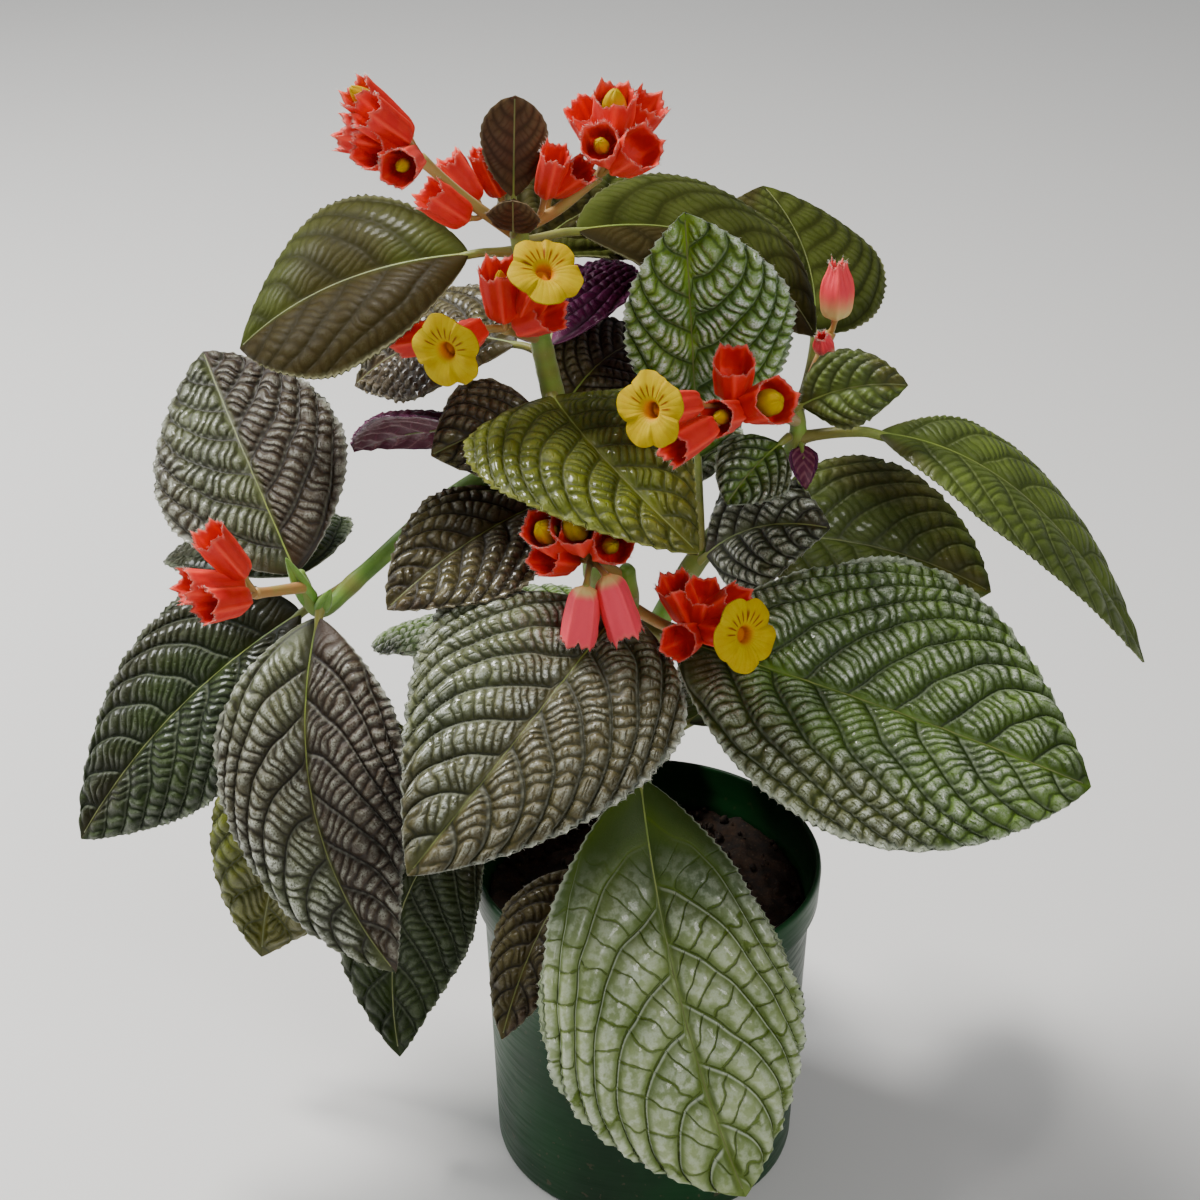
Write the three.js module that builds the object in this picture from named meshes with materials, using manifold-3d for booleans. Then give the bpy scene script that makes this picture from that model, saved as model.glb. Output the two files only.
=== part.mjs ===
// Potted Chrysothemis pulchella in a 100 mm nursery pot.
// Millimetres, +Z up. The origin is the centre of the pot's underside and -Y is the plant's front.
// The pot, the soil, the branching stem, each leaf, each flower cluster and each yellow bud or
// open flower is a solid of its own. Leaves and clusters sit against the stem they grow from.

import * as THREE from 'three';
import { mergeVertices } from 'three/addons/utils/BufferGeometryUtils.js';
import Module from 'manifold-3d';

const wasm = await Module();
wasm.setup();

// Pot and soil
const POT_HEIGHT = 100;
const RIM_RADIUS = 50;
const RIM_BAND = 12;
const WALL = 1.4;
const FLOOR = 2;
const POT_TOP_RADIUS = 47.6;
const POT_FOOT_RADIUS = 44.5;
const POT_SIDES = 30;
const DRAIN_HOLES = 5;
const DRAIN_HOLE_RADIUS = 4;
const DRAIN_HOLE_SIDES = 8;
const DRAIN_CIRCLE_RADIUS = 32;
const SOIL_TOP = 87;
const SOIL_RELIEF = 1.6;
const SOIL_SIDES = 18;

// Clearance between pieces that touch
const SEAT_GAP = 0.3;

// Leaves
const BLADE_THICKNESS = 0.8;
const RIB_THICKNESS = 1.5;
const QUILT_RELIEF = 1;
const VEIN_TROUGH = 0.3;
const TOOTH = 0.9;
const VEIN_SLANT = 0.2;
const INNER_COLUMN = 0.55;
const BASE_FULLNESS = 0.72;
const TIP_FULLNESS = 0.85;
const STALK_SIDES = 4;
const STALK_STEPS = 2;
const STALK_RADIUS = 0.7;
const STALK_GIRTH = 0.011;

// Flowers
const CALYX_RADIUS = 4.4;
const CALYX_LOBES = 5;
const CALYX_BELLY = 0.35;
const CALYX_FLOOR = 0.45;
const RIDGE_HOLLOW = 0.76;
const MOUTH_HOLLOW = 0.86;
const LOBE_NOTCH = 0.8;
const PEDICEL_RADIUS = 0.8;
const PEDUNCLE_RADIUS = 1.4;
const PEDUNCLE_SIDES = 6;
const BUD_SHARE = 0.62;
const BUD_SIDES = 5;
const COROLLA_RADIUS = 9.5;
const COROLLA_TUBE = 2.2;
const COROLLA_NOTCH = 0.8;
const PETALS = 5;
const PETAL_POINTS = 3;

const FINISHES = {
  pot: { color: 0x12472a, roughness: 0.45 },
  soil: { color: 0x1d1611, roughness: 0.95 },
  stem: { color: 0x6f8f3a, roughness: 0.55 },
  greenLeaf: { color: 0x4c5f35, roughness: 0.42 },
  bronzeLeaf: { color: 0x54452f, roughness: 0.4 },
  youngLeaf: { color: 0x87902f, roughness: 0.45 },
  paleLeaf: { color: 0x9aa582, roughness: 0.5 },
  calyx: { color: 0xd8402a, roughness: 0.6 },
  corolla: { color: 0xf2d21c, roughness: 0.5 },
};

// The stem and its side shoots: centre line from the foot upwards, radius at foot and top, sides.
const SHOOTS = [
  {
    points: [[0, 0, 70], [-3, -2, 120], [-8, -4, 160], [-18, -5, 215], [-26, -5, 250], [-35, -1, 297]],
    radii: [4.8, 2],
    sides: 8,
  },
  { points: [[-4, -3, 128], [-5, -18, 150], [-5, -32, 182], [-7, -38, 216]], radii: [3.2, 2.2], sides: 6 },
  {
    points: [[-7, -4, 152], [4, 5, 178], [21, 9, 205], [38, 6, 229], [37, 6, 241]],
    radii: [3.2, 1.8],
    sides: 6,
  },
  {
    points: [[-22, -5, 236], [-50, -9, 222], [-76, -14, 200], [-87, -20, 193], [-92, -19, 204]],
    radii: [2.8, 1.6],
    sides: 6,
  },
];

// Each leaf runs from a point of its shoot to its tip. `arch` is how far the middle of the midrib
// lies from the straight line between them, `face` is where the upper side looks (azimuth and
// elevation in degrees), `width` the blade's greatest width and `widest` its place along the blade,
// `blunt` makes the tip rounder as it falls, `lean` is how much wider the half at positive x is,
// `stalk` the part of the length without blade, `fold` the rise of each half from the midrib in
// degrees, `cup` the droop of the margins and `veins` the side veins in each half.
const LEAF_DEFAULTS = {
  widest: 0.42,
  blunt: TIP_FULLNESS,
  lean: 0,
  stalk: 0.12,
  fold: 18,
  cup: 0.35,
  veins: 3,
};
const LEAVES = [
  { name: 'leaf_right_large', from: [-4, -34, 196], tip: [110, -62, 166], arch: [1, -6, 5],
    face: [-80, 62], width: 88, widest: 0.5, lean: 0.1, stalk: 0.08, veins: 6, finish: 'greenLeaf' },
  { name: 'leaf_centre', from: [-6, -37, 207], tip: [-60, -94, 162], arch: [4, -4, 8],
    face: [-100, 55], width: 73, widest: 0.34, lean: -0.08, stalk: 0.05, veins: 6, finish: 'bronzeLeaf' },
  { name: 'leaf_front_low', from: [-4, -24, 158], tip: [25, -90, 54], arch: [-5, -13, 7],
    face: [-90, 35], width: 70, widest: 0.56, lean: -0.1, stalk: 0.1, veins: 6, finish: 'paleLeaf' },
  { name: 'leaf_left_hanging', from: [-86, -20, 196], tip: [-67, -66, 110], arch: [-11, -10, 2],
    face: [-115, 35], width: 56, widest: 0.36, stalk: 0.04, veins: 6, finish: 'bronzeLeaf' },
  { name: 'leaf_left_far', from: [-79, -15, 198], tip: [-158, -16, 117], arch: [-5, 0, 6],
    face: [-120, 50], width: 60, widest: 0.4, stalk: 0.14, veins: 4, finish: 'greenLeaf' },
  { name: 'leaf_left_upper', from: [-91, -19, 199], tip: [-123, 46, 237], arch: [-1, -4, 6],
    face: [-100, 45], width: 54, widest: 0.42, stalk: 0.05, veins: 4, finish: 'bronzeLeaf' },
  { name: 'leaf_left_back', from: [-89, -18, 196], tip: [-128, 60, 168], arch: [-1, 8, 6],
    face: [120, 60], width: 54, finish: 'greenLeaf' },
  { name: 'leaf_top_left', from: [-34, -1, 285], tip: [-107, 10, 254], arch: [-4, -5, 9],
    face: [-80, 60], width: 54, widest: 0.5, stalk: 0.14, veins: 4, finish: 'greenLeaf' },
  { name: 'leaf_top_right', from: [-34, -1, 287], tip: [43, 20, 253], arch: [8, 9, 12],
    face: [-60, 70], width: 54, widest: 0.45, stalk: 0.14, veins: 4, finish: 'greenLeaf' },
  { name: 'leaf_top_back', from: [-33, -1, 281], tip: [1, 58, 278], arch: [-4, 4, 2],
    face: [-80, 60], width: 42, stalk: 0.14, finish: 'greenLeaf' },
  { name: 'leaf_young_tall', from: [-35, -1, 295], tip: [-34, -4, 326], arch: [0, -1, 0],
    face: [-90, 10], width: 17, widest: 0.62, blunt: 0.55, stalk: 0.15, finish: 'bronzeLeaf' },
  { name: 'leaf_young_short', from: [-35, -2, 290], tip: [-34.5, -16, 304], arch: [0, -1, -1],
    face: [-90, 30], width: 13.5, widest: 0.6, blunt: 0.55, stalk: 0.15, veins: 2, finish: 'bronzeLeaf' },
  { name: 'leaf_centre_young', from: [-26, -6, 249], tip: [10, -60, 232], arch: [-6, -2, 6],
    face: [-100, 80], width: 60, widest: 0.28, stalk: 0.04, veins: 4, finish: 'youngLeaf' },
  { name: 'leaf_centre_left', from: [-25, -5, 243], tip: [-56, -22, 239], arch: [1, -2, 3],
    face: [-100, 50], width: 32, finish: 'bronzeLeaf' },
  { name: 'leaf_back_left_high', from: [-28, -4, 259], tip: [-80, 30, 234], arch: [-2, 2, 8],
    face: [-90, 60], width: 38, finish: 'bronzeLeaf' },
  { name: 'leaf_back_right_high', from: [-27, -4, 254], tip: [-13, 49, 262], arch: [-3, 1, 5],
    face: [90, 45], width: 42, stalk: 0.14, finish: 'bronzeLeaf' },
  { name: 'leaf_back_left_mid', from: [-22, -5, 232], tip: [-82, 36, 212], arch: [0, 3, 5],
    face: [95, 50], width: 46, stalk: 0.14, finish: 'bronzeLeaf' },
  { name: 'leaf_inner_left', from: [-19, -5, 220], tip: [-67, -42, 206], arch: [0, -2, 6],
    face: [-110, 60], width: 40, stalk: 0.2, veins: 4, finish: 'bronzeLeaf' },
  { name: 'leaf_right_upright', from: [14, 8, 193], tip: [7, -8, 298], arch: [0, -5, 4],
    face: [-88, 12], width: 44, widest: 0.55, lean: -0.22, stalk: 0.3, veins: 4, finish: 'greenLeaf' },
  { name: 'leaf_right_long', from: [38, 6, 230], tip: [133, -10, 171], arch: [3, -3, 25],
    face: [-25, 60], width: 42, widest: 0.45, stalk: 0.2, veins: 4, finish: 'greenLeaf' },
  { name: 'leaf_right_back', from: [38, 7, 237], tip: [33, 92, 268], arch: [9, 0, 3],
    face: [-50, 45], width: 56, widest: 0.55, stalk: 0.3, veins: 4, finish: 'bronzeLeaf' },
  { name: 'leaf_right_small', from: [37, 5, 239], tip: [65, -4, 250], arch: [-1, -3, 4],
    face: [-75, 30], width: 21, stalk: 0.06, finish: 'greenLeaf' },
  { name: 'leaf_right_inner', from: [36, 5, 231], tip: [19, -14, 221], arch: [-1, -2, 2],
    face: [-80, 50], width: 22, veins: 2, finish: 'greenLeaf' },
  { name: 'leaf_right_silver', from: [12, 8, 190], tip: [46, -14, 214], arch: [-3, -4, 8],
    face: [-80, 50], width: 36, stalk: 0.12, finish: 'bronzeLeaf' },
  { name: 'leaf_right_behind', from: [18, 10, 198], tip: [94, 12, 180], arch: [2, 3, 5],
    face: [-80, 40], width: 52, veins: 4, finish: 'greenLeaf' },
  { name: 'leaf_right_purple', from: [39, 5, 229], tip: [40, -6, 221], arch: [0, 0, 2],
    face: [90, -20], width: 8, veins: 2, finish: 'bronzeLeaf' },
  { name: 'leaf_back_right_mid', from: [-24, -3, 241], tip: [0, 36, 245], arch: [-1, 1, 4],
    face: [-70, 50], width: 30, finish: 'bronzeLeaf' },
  { name: 'leaf_back_centre', from: [-14, -5, 195], tip: [10, 88, 200], arch: [-2, 0, 12],
    face: [90, 60], width: 62, stalk: 0.16, finish: 'greenLeaf' },
  { name: 'leaf_back_left', from: [-8, -4, 160], tip: [-78, 72, 128], arch: [-3, 3, 13],
    face: [130, 60], width: 62, stalk: 0.18, finish: 'greenLeaf' },
  { name: 'leaf_back_right', from: [-4, -3, 132], tip: [76, 66, 112], arch: [1, 3, 16],
    face: [50, 60], width: 64, stalk: 0.18, finish: 'greenLeaf' },
  { name: 'leaf_back_low', from: [-2, -1, 112], tip: [-14, 98, 72], arch: [0, 7, 18],
    face: [90, 60], width: 58, stalk: 0.3, finish: 'greenLeaf' },
  { name: 'leaf_low_left', from: [-6, -3, 146], tip: [-117, 20, 47], arch: [-23, 6, 24],
    face: [-90, 40], width: 60, widest: 0.55, lean: 0.12, stalk: 0.35, finish: 'youngLeaf' },
  { name: 'leaf_low_hanging', from: [-4, -3, 122], tip: [-73, -12, 35], arch: [-22, -5, 31],
    face: [-105, 35], width: 46, widest: 0.5, stalk: 0.3, finish: 'greenLeaf' },
  { name: 'leaf_low_front', from: [-2, -3, 116], tip: [-40, -62, 84], arch: [-4, -6, 13],
    face: [-115, 50], width: 26, stalk: 0.35, finish: 'bronzeLeaf' },
];

// Each flower cluster has a stalk from the stem to where its flower stalks part, and heads that run
// from the foot of a calyx to its mouth. A head may part from the stalk elsewhere, at `joins`. It
// holds a yellow bud, an open flower or nothing yet, and `fill` is how far a bud has grown.
const HEAD_DEFAULTS = { radius: CALYX_RADIUS, holds: 'nothing', fill: 1 };
const CLUSTERS = [
  {
    name: 'flowers_top_left',
    stalk: [[-35, -1, 290], [-47, -5, 301], [-57, -8, 312]],
    heads: [
      { foot: [-59, -9, 317], mouth: [-72, -13, 331], holds: 'bud' },
      { foot: [-60, -12, 316], mouth: [-76, -14, 321] },
      { foot: [-59, -14, 318], mouth: [-69, -19, 328] },
      { foot: [-58, -14, 314], mouth: [-61, -27, 316], holds: 'bud', fill: 0.6 },
      { foot: [-60, -10, 314], mouth: [-69, -22, 319] },
      { foot: [-46, -5, 295], mouth: [-56, -9, 304], joins: [-42, -3, 296] },
      { foot: [-44, 2, 297], mouth: [-52, 3, 308], joins: [-41, -3, 295] },
      { foot: [-38, 3, 298], mouth: [-43, 2, 311], radius: 3.4, joins: [-37, -1, 292] },
    ],
  },
  {
    name: 'flowers_top_right',
    stalk: [[-35, -1, 290], [-24, -3, 297], [-14, -4, 306]],
    heads: [
      { foot: [-11, -4, 313], mouth: [-10, -9, 329], radius: 5, holds: 'bud' },
      { foot: [-12, -10, 313], mouth: [-14, -21, 321], holds: 'bud', fill: 0.7 },
      { foot: [-9, -2, 312], mouth: [-1, -6, 326] },
      { foot: [-10, -8, 310], mouth: [-3, -19, 319], radius: 5 },
      { foot: [-13, 0, 311], mouth: [-18, -5, 324] },
      { foot: [-27, -5, 301], mouth: [-24, -11, 315], radius: 3.6, joins: [-29, -2, 293] },
      { foot: [-26, -2, 301], mouth: [-17, -9, 310], radius: 3.6, joins: [-26, -2, 295] },
    ],
  },
  {
    name: 'flowers_upper',
    stalk: [[-29, -4, 263], [-33, -10, 267], [-37, -14, 270]],
    heads: [
      { foot: [-37, -16, 273], mouth: [-38, -19, 289], radius: 5, holds: 'bud', fill: 0.6 },
      { foot: [-32, -16, 275], mouth: [-27, -25, 289], holds: 'flower' },
      { foot: [-34, -14, 271], mouth: [-25, -21, 278], radius: 5 },
      { foot: [-43, -18, 272], mouth: [-50, -31, 272], holds: 'flower' },
      { foot: [-52, -12, 268], mouth: [-64, -7, 264] },
    ],
  },
  {
    name: 'flowers_right',
    stalk: [[38, 6, 235], [32, -7, 243], [24, -18, 250]],
    heads: [
      { foot: [19, -21, 255], mouth: [19, -27, 268], radius: 5 },
      { foot: [23, -22, 252], mouth: [30, -32, 259], radius: 5.6, holds: 'bud' },
      { foot: [20, -25, 252], mouth: [14, -36, 256], holds: 'bud', fill: 0.7 },
      { foot: [14, -35, 254], mouth: [3, -47, 253] },
      { foot: [10, -34, 259], mouth: [-1, -48, 264], holds: 'flower' },
    ],
  },
  {
    name: 'flowers_front',
    stalk: [[-7, -37, 212], [-12, -40, 217], [-16, -40, 219]],
    heads: [
      { foot: [-23, -42, 224], mouth: [-28, -52, 235], radius: 5, holds: 'bud' },
      { foot: [-18, -44, 226], mouth: [-20, -54, 238], radius: 5.8, holds: 'bud' },
      { foot: [-13, -44, 224], mouth: [-10, -55, 232], radius: 4.8, holds: 'bud', fill: 0.7 },
      { foot: [-20, -40, 219], mouth: [-28, -49, 225] },
      { foot: [-17, -55, 220], mouth: [-19, -57, 205] },
      { foot: [-12, -53, 222], mouth: [-7, -56, 206] },
    ],
  },
  {
    name: 'flowers_front_right',
    stalk: [[-6, -35, 203], [3, -40, 200], [9, -43, 200]],
    heads: [
      { foot: [9, -46, 205], mouth: [4, -48, 218] },
      { foot: [11, -46, 205], mouth: [12, -51, 217] },
      { foot: [12, -48, 206], mouth: [21, -54, 216] },
      { foot: [10, -48, 202], mouth: [5, -60, 207] },
      { foot: [12, -50, 205], mouth: [21, -61, 210], holds: 'flower' },
    ],
  },
  {
    name: 'flowers_left',
    stalk: [[-90, -20, 200], [-95, -27, 203], [-101, -34, 206]],
    heads: [
      { foot: [-103, -36, 212], mouth: [-111, -40, 227] },
      { foot: [-103, -36, 209], mouth: [-118, -44, 214] },
      { foot: [-102, -38, 207], mouth: [-112, -49, 211] },
    ],
  },
  {
    name: 'flowers_right_late',
    stalk: [[38, 6, 239], [42, 10, 247], [46, 11, 258]],
    heads: [
      { foot: [47, 10, 262], mouth: [47, 11, 278], radius: 3.8 },
      { foot: [45, 9, 253], mouth: [43, 5, 260], radius: 2.4, joins: [44, 11, 252] },
    ],
  },
];

function vector(values) {
  return new THREE.Vector3(...values);
}

/** Unit vector along an azimuth (from +X towards +Y) and an elevation, in degrees. */
function direction(azimuth, elevation) {
  const a = THREE.MathUtils.degToRad(azimuth);
  const e = THREE.MathUtils.degToRad(elevation);
  return new THREE.Vector3(Math.cos(e) * Math.cos(a), Math.cos(e) * Math.sin(a), Math.sin(e));
}

/** A closed body gathered from points and triangles that wind anticlockwise seen from outside. */
class Shell {
  constructor() {
    this.points = [];
    this.faces = [];
  }

  add(point) {
    this.points.push(point);
    return this.points.length - 1;
  }

  /** Leaves out a triangle that has shrunk to a line. */
  triangle(a, b, c) {
    if (a !== b && b !== c && c !== a) {
      this.faces.push(a, b, c);
    }
  }

  quad(a, b, c, d) {
    this.triangle(a, b, c);
    this.triangle(a, c, d);
  }

  /** Joins two rings that run anticlockwise round the way from the lower to the upper one. */
  band(lower, upper) {
    const sides = lower.length;
    const finer = upper.length / sides;
    for (let k = 0; k < sides; k += 1) {
      const next = (k + 1) % sides;
      if (finer === 1) {
        this.quad(lower[k], lower[next], upper[next], upper[k]);
      } else {
        const middle = upper[2 * k + 1];
        this.triangle(lower[k], lower[next], middle);
        this.triangle(lower[k], middle, upper[2 * k]);
        this.triangle(lower[next], upper[2 * next], middle);
      }
    }
  }

  startCap(centre, ring) {
    ring.forEach((point, k) => this.triangle(centre, ring[(k + 1) % ring.length], point));
  }

  endCap(centre, ring) {
    ring.forEach((point, k) => this.triangle(centre, point, ring[(k + 1) % ring.length]));
  }

  solid() {
    const vertProperties = new Float32Array(this.points.flatMap((p) => [p.x, p.y, p.z]));
    const mesh = new wasm.Mesh({ numProp: 3, vertProperties, triVerts: new Uint32Array(this.faces) });
    return new wasm.Manifold(mesh);
  }
}

/** The solid of a three.js geometry whose faces close once its vertices are merged. */
function solidFromGeometry(geometry) {
  const bare = geometry.clone();
  bare.deleteAttribute('normal');
  bare.deleteAttribute('uv');
  const merged = mergeVertices(bare, 1e-4);
  const vertProperties = new Float32Array(merged.attributes.position.array);
  const triVerts = new Uint32Array(merged.index.array);
  return new wasm.Manifold(new wasm.Mesh({ numProp: 3, vertProperties, triVerts }));
}

function geometryFromSolid(solid) {
  const mesh = solid.getMesh();
  const geometry = new THREE.BufferGeometry();
  geometry.setAttribute('position', new THREE.BufferAttribute(new Float32Array(mesh.vertProperties), 3));
  geometry.setIndex(new THREE.BufferAttribute(new Uint32Array(mesh.triVerts), 1));
  geometry.computeVertexNormals();
  return geometry;
}

/** The largest body of a solid, without the scraps that a cut leaves. */
function largestBody(solid) {
  return solid.decompose().reduce((best, body) => (body.volume() > best.volume() ? body : best));
}

/** A round limb along a curve, tapered from its foot to its top. */
function taperedLimb(curve, [footRadius, topRadius], sides, steps) {
  const shell = new Shell();
  const frames = curve.computeFrenetFrames(steps, false);
  const rings = [];
  for (let i = 0; i <= steps; i += 1) {
    const centre = curve.getPointAt(i / steps);
    const radius = THREE.MathUtils.lerp(footRadius, topRadius, i / steps);
    rings.push(ringOfPoints(shell, centre, frames.normals[i], frames.binormals[i], sides, () => radius));
  }
  for (let i = 0; i < steps; i += 1) {
    shell.band(rings[i], rings[i + 1]);
  }
  shell.startCap(shell.add(curve.getPointAt(0)), rings[0]);
  shell.endCap(shell.add(curve.getPointAt(1)), rings[steps]);
  return shell.solid();
}

/** Points round a centre in the plane of two crossed directions, at a radius given for each. */
function ringOfPoints(shell, centre, aside, beyond, sides, radiusAt) {
  const ring = [];
  for (let k = 0; k < sides; k += 1) {
    const angle = (2 * Math.PI * k) / sides;
    ring.push(shell.add(centre.clone()
      .addScaledVector(aside, radiusAt(k) * Math.cos(angle))
      .addScaledVector(beyond, radiusAt(k) * Math.sin(angle))));
  }
  return ring;
}

/** The branching stem, thickened by a margin when it cuts the seats of what grows from it. */
function stemSolid(margin) {
  const limbs = SHOOTS.map(({ points, radii, sides }) => {
    const curve = new THREE.CatmullRomCurve3(points.map(vector));
    return taperedLimb(curve, radii.map((radius) => radius + margin), sides, 2 * points.length - 2);
  });
  return limbs.reduce((whole, limb) => whole.add(limb));
}

const stemSeat = stemSolid(SEAT_GAP);

/** Half width of a blade: 0 at its base, 1 where it is widest and 0 at its tip. */
function bladeOutline(t, widest, tipFullness = TIP_FULLNESS) {
  if (t < widest) {
    return Math.sin((Math.PI / 2) * (t / widest)) ** BASE_FULLNESS;
  }
  return Math.max(0, Math.cos((Math.PI / 2) * ((t - widest) / (1 - widest)))) ** tipFullness;
}

/** Side veins slant towards the tip: the place along the blade of a vein's point at x. */
function alongVein(q, x) {
  const reach = 0.6 * Math.abs(x) + 0.4 * x * x;
  return q + VEIN_SLANT * 4 * q * (1 - q) * reach;
}

/** Where the points of one leaf lie: along its midrib, across its blade and above its surface. */
class LeafForm {
  constructor(leaf) {
    Object.assign(this, LEAF_DEFAULTS, leaf);
    const start = vector(this.from);
    const end = vector(this.tip);
    const middle = start.clone().lerp(end, 0.5).addScaledVector(vector(this.arch), 2);
    this.midrib = new THREE.QuadraticBezierCurve3(start, middle, end);
    this.up = direction(...this.face);
  }

  /** Centre of the midrib at a share of its length, with the directions up and across there. */
  frame(share) {
    const along = this.midrib.getTangent(share);
    const normal = this.up.clone().addScaledVector(along, -this.up.dot(along)).normalize();
    return { centre: this.midrib.getPoint(share), normal, across: normal.clone().cross(along) };
  }

  /** t runs along the blade from 0 to 1, x across it from -1 to 1, and lift is above the surface. */
  point(t, x, lift) {
    const { centre, normal, across } = this.frame(this.stalk + (1 - this.stalk) * t);
    const share = (1 + this.lean * Math.sign(x)) / 2;
    const half = share * this.width * bladeOutline(t, this.widest, this.blunt);
    const fold = THREE.MathUtils.degToRad(this.fold);
    const height = half * (Math.abs(x) * Math.sin(fold) - this.cup * x * x) + lift;
    return centre.addScaledVector(across, half * x * Math.cos(0.8 * fold)).addScaledVector(normal, height);
  }
}

/** Rings of four points along the stalk, from the middle of the shoot to the foot of the blade. */
function stalkRings(shell, form) {
  const footRadius = STALK_RADIUS + STALK_GIRTH * form.width;
  const endRadius = RIB_THICKNESS / 2;
  const rings = [];
  for (let i = 0; i <= STALK_STEPS; i += 1) {
    const share = i / STALK_STEPS;
    const { centre, normal, across } = form.frame(form.stalk * share);
    const radius = THREE.MathUtils.lerp(footRadius, endRadius, share);
    centre.addScaledVector(normal, -endRadius * share);
    rings.push(ringOfPoints(shell, centre, across, normal, STALK_SIDES, () => radius));
  }
  shell.startCap(shell.add(form.midrib.getPoint(0)), rings[0]);
  for (let i = 0; i < STALK_STEPS; i += 1) {
    shell.band(rings[i], rings[i + 1]);
  }
  return rings[STALK_STEPS];
}

/** The points of one face of a blade. The side veins lie low and the quilting between them high. */
function bladeFace(shell, form, depth, ribDepth, foot, sides) {
  const stations = 2 * form.veins + 1;
  const swell = (q) => QUILT_RELIEF * bladeOutline(q, 0.5);
  const rib = [foot];
  for (let i = 1; i <= stations; i += 1) {
    rib.push(shell.add(form.point(i / stations, 0, i < stations ? -ribDepth : -depth)));
  }
  const halves = [1, -1].map((side, half) => {
    const inner = [sides[half]];
    for (let i = 1; i < stations; i += 1) {
      const q = i / stations;
      const lift = (i % 2 === 1 ? 1 : -VEIN_TROUGH) * swell(q) - depth;
      inner.push(shell.add(form.point(alongVein(q, INNER_COLUMN), side * INNER_COLUMN, lift)));
    }
    inner.push(rib[stations]);
    const margin = [sides[half]];
    for (let j = 1; j < 2 * stations; j += 1) {
      const q = j / (2 * stations);
      const reach = 1 + (j % 2 === 1 ? TOOTH : -TOOTH) / (form.width / 2);
      const lift = (j % 4 === 0 ? -0.5 : 0.5) * swell(q) - depth;
      margin.push(shell.add(form.point(alongVein(q, 1), side * reach, lift)));
    }
    margin.push(rib[stations]);
    return { inner, margin };
  });
  return { rib, halves };
}

/** Triangles of one face of a blade; under turns them to face down. */
function coverFace(shell, { rib, halves }, under) {
  halves.forEach(({ inner, margin }, half) => {
    const flip = under !== (half === 1);
    const put = (a, b, c) => (flip ? shell.triangle(a, c, b) : shell.triangle(a, b, c));
    for (let i = 0; i + 1 < rib.length; i += 1) {
      put(rib[i], rib[i + 1], inner[i + 1]);
      put(rib[i], inner[i + 1], inner[i]);
      put(inner[i], inner[i + 1], margin[2 * i + 1]);
      put(inner[i], margin[2 * i + 1], margin[2 * i]);
      put(inner[i + 1], margin[2 * i + 2], margin[2 * i + 1]);
    }
  });
}

/** A leaf: its stalk and a thin toothed blade, quilted between the side veins, in one body. */
function leafSolid(leaf) {
  const form = new LeafForm(leaf);
  const shell = new Shell();
  const [left, top, right, bottom] = stalkRings(shell, form);
  const upper = bladeFace(shell, form, 0, 0, top, [left, right]);
  const lower = bladeFace(shell, form, BLADE_THICKNESS, RIB_THICKNESS, bottom, [left, right]);
  coverFace(shell, upper, false);
  coverFace(shell, lower, true);
  upper.halves.forEach(({ margin }, half) => {
    const below = lower.halves[half].margin;
    for (let j = 0; j + 1 < margin.length; j += 1) {
      const edge = [margin[j], margin[j + 1], below[j + 1], below[j]];
      shell.quad(...(half === 0 ? edge : edge.reverse()));
    }
  });
  return largestBody(shell.solid().subtract(stemSeat));
}

/** Where the points of a flower head lie: up its axis from the foot, and round it. */
class HeadForm {
  constructor(head) {
    Object.assign(this, HEAD_DEFAULTS, head);
    this.base = vector(this.foot);
    this.axis = vector(this.mouth).sub(this.base);
    this.length = this.axis.length();
    this.axis.normalize();
    const helper = Math.abs(this.axis.z) > 0.9 ? new THREE.Vector3(1, 0, 0) : new THREE.Vector3(0, 0, 1);
    this.aside = helper.cross(this.axis).normalize();
    this.beyond = this.axis.clone().cross(this.aside);
  }

  centre(height) {
    return this.base.clone().addScaledVector(this.axis, height);
  }

  /** A ring whose height and radius are given for each of its points. */
  ring(shell, sides, heightAt, radiusAt) {
    const ring = [];
    for (let k = 0; k < sides; k += 1) {
      const angle = (2 * Math.PI * k) / sides;
      ring.push(shell.add(this.centre(heightAt(k))
        .addScaledVector(this.aside, radiusAt(k) * Math.cos(angle))
        .addScaledVector(this.beyond, radiusAt(k) * Math.sin(angle))));
    }
    return ring;
  }
}

/** A flower stalk and its ridged calyx with pointed lobes round a hollow mouth, in one body. */
function headSolid(form, parting) {
  const shell = new Shell();
  const away = form.base.clone().sub(parting).normalize();
  const turn = new THREE.Quaternion().setFromUnitVectors(form.axis, away);
  const aside = form.aside.clone().applyQuaternion(turn);
  const beyond = form.beyond.clone().applyQuaternion(turn);
  const ridged = (hollow) => (k) => form.radius * (k % 2 === 0 ? 1 : hollow);
  const lobed = (k) => form.length * (k % 2 === 0 ? 1 : LOBE_NOTCH);
  const rings = [
    ringOfPoints(shell, parting, aside, beyond, CALYX_LOBES, () => PEDICEL_RADIUS),
    form.ring(shell, CALYX_LOBES, () => 0, () => 1.5 * PEDICEL_RADIUS),
    form.ring(shell, 2 * CALYX_LOBES, () => CALYX_BELLY * form.length, ridged(RIDGE_HOLLOW)),
    form.ring(shell, 2 * CALYX_LOBES, lobed, ridged(MOUTH_HOLLOW)),
  ];
  for (let i = 0; i + 1 < rings.length; i += 1) {
    shell.band(rings[i], rings[i + 1]);
  }
  shell.startCap(shell.add(parting.clone()), rings[0]);
  shell.endCap(shell.add(form.centre(CALYX_FLOOR * form.length)), rings[rings.length - 1]);
  return shell.solid();
}

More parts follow.
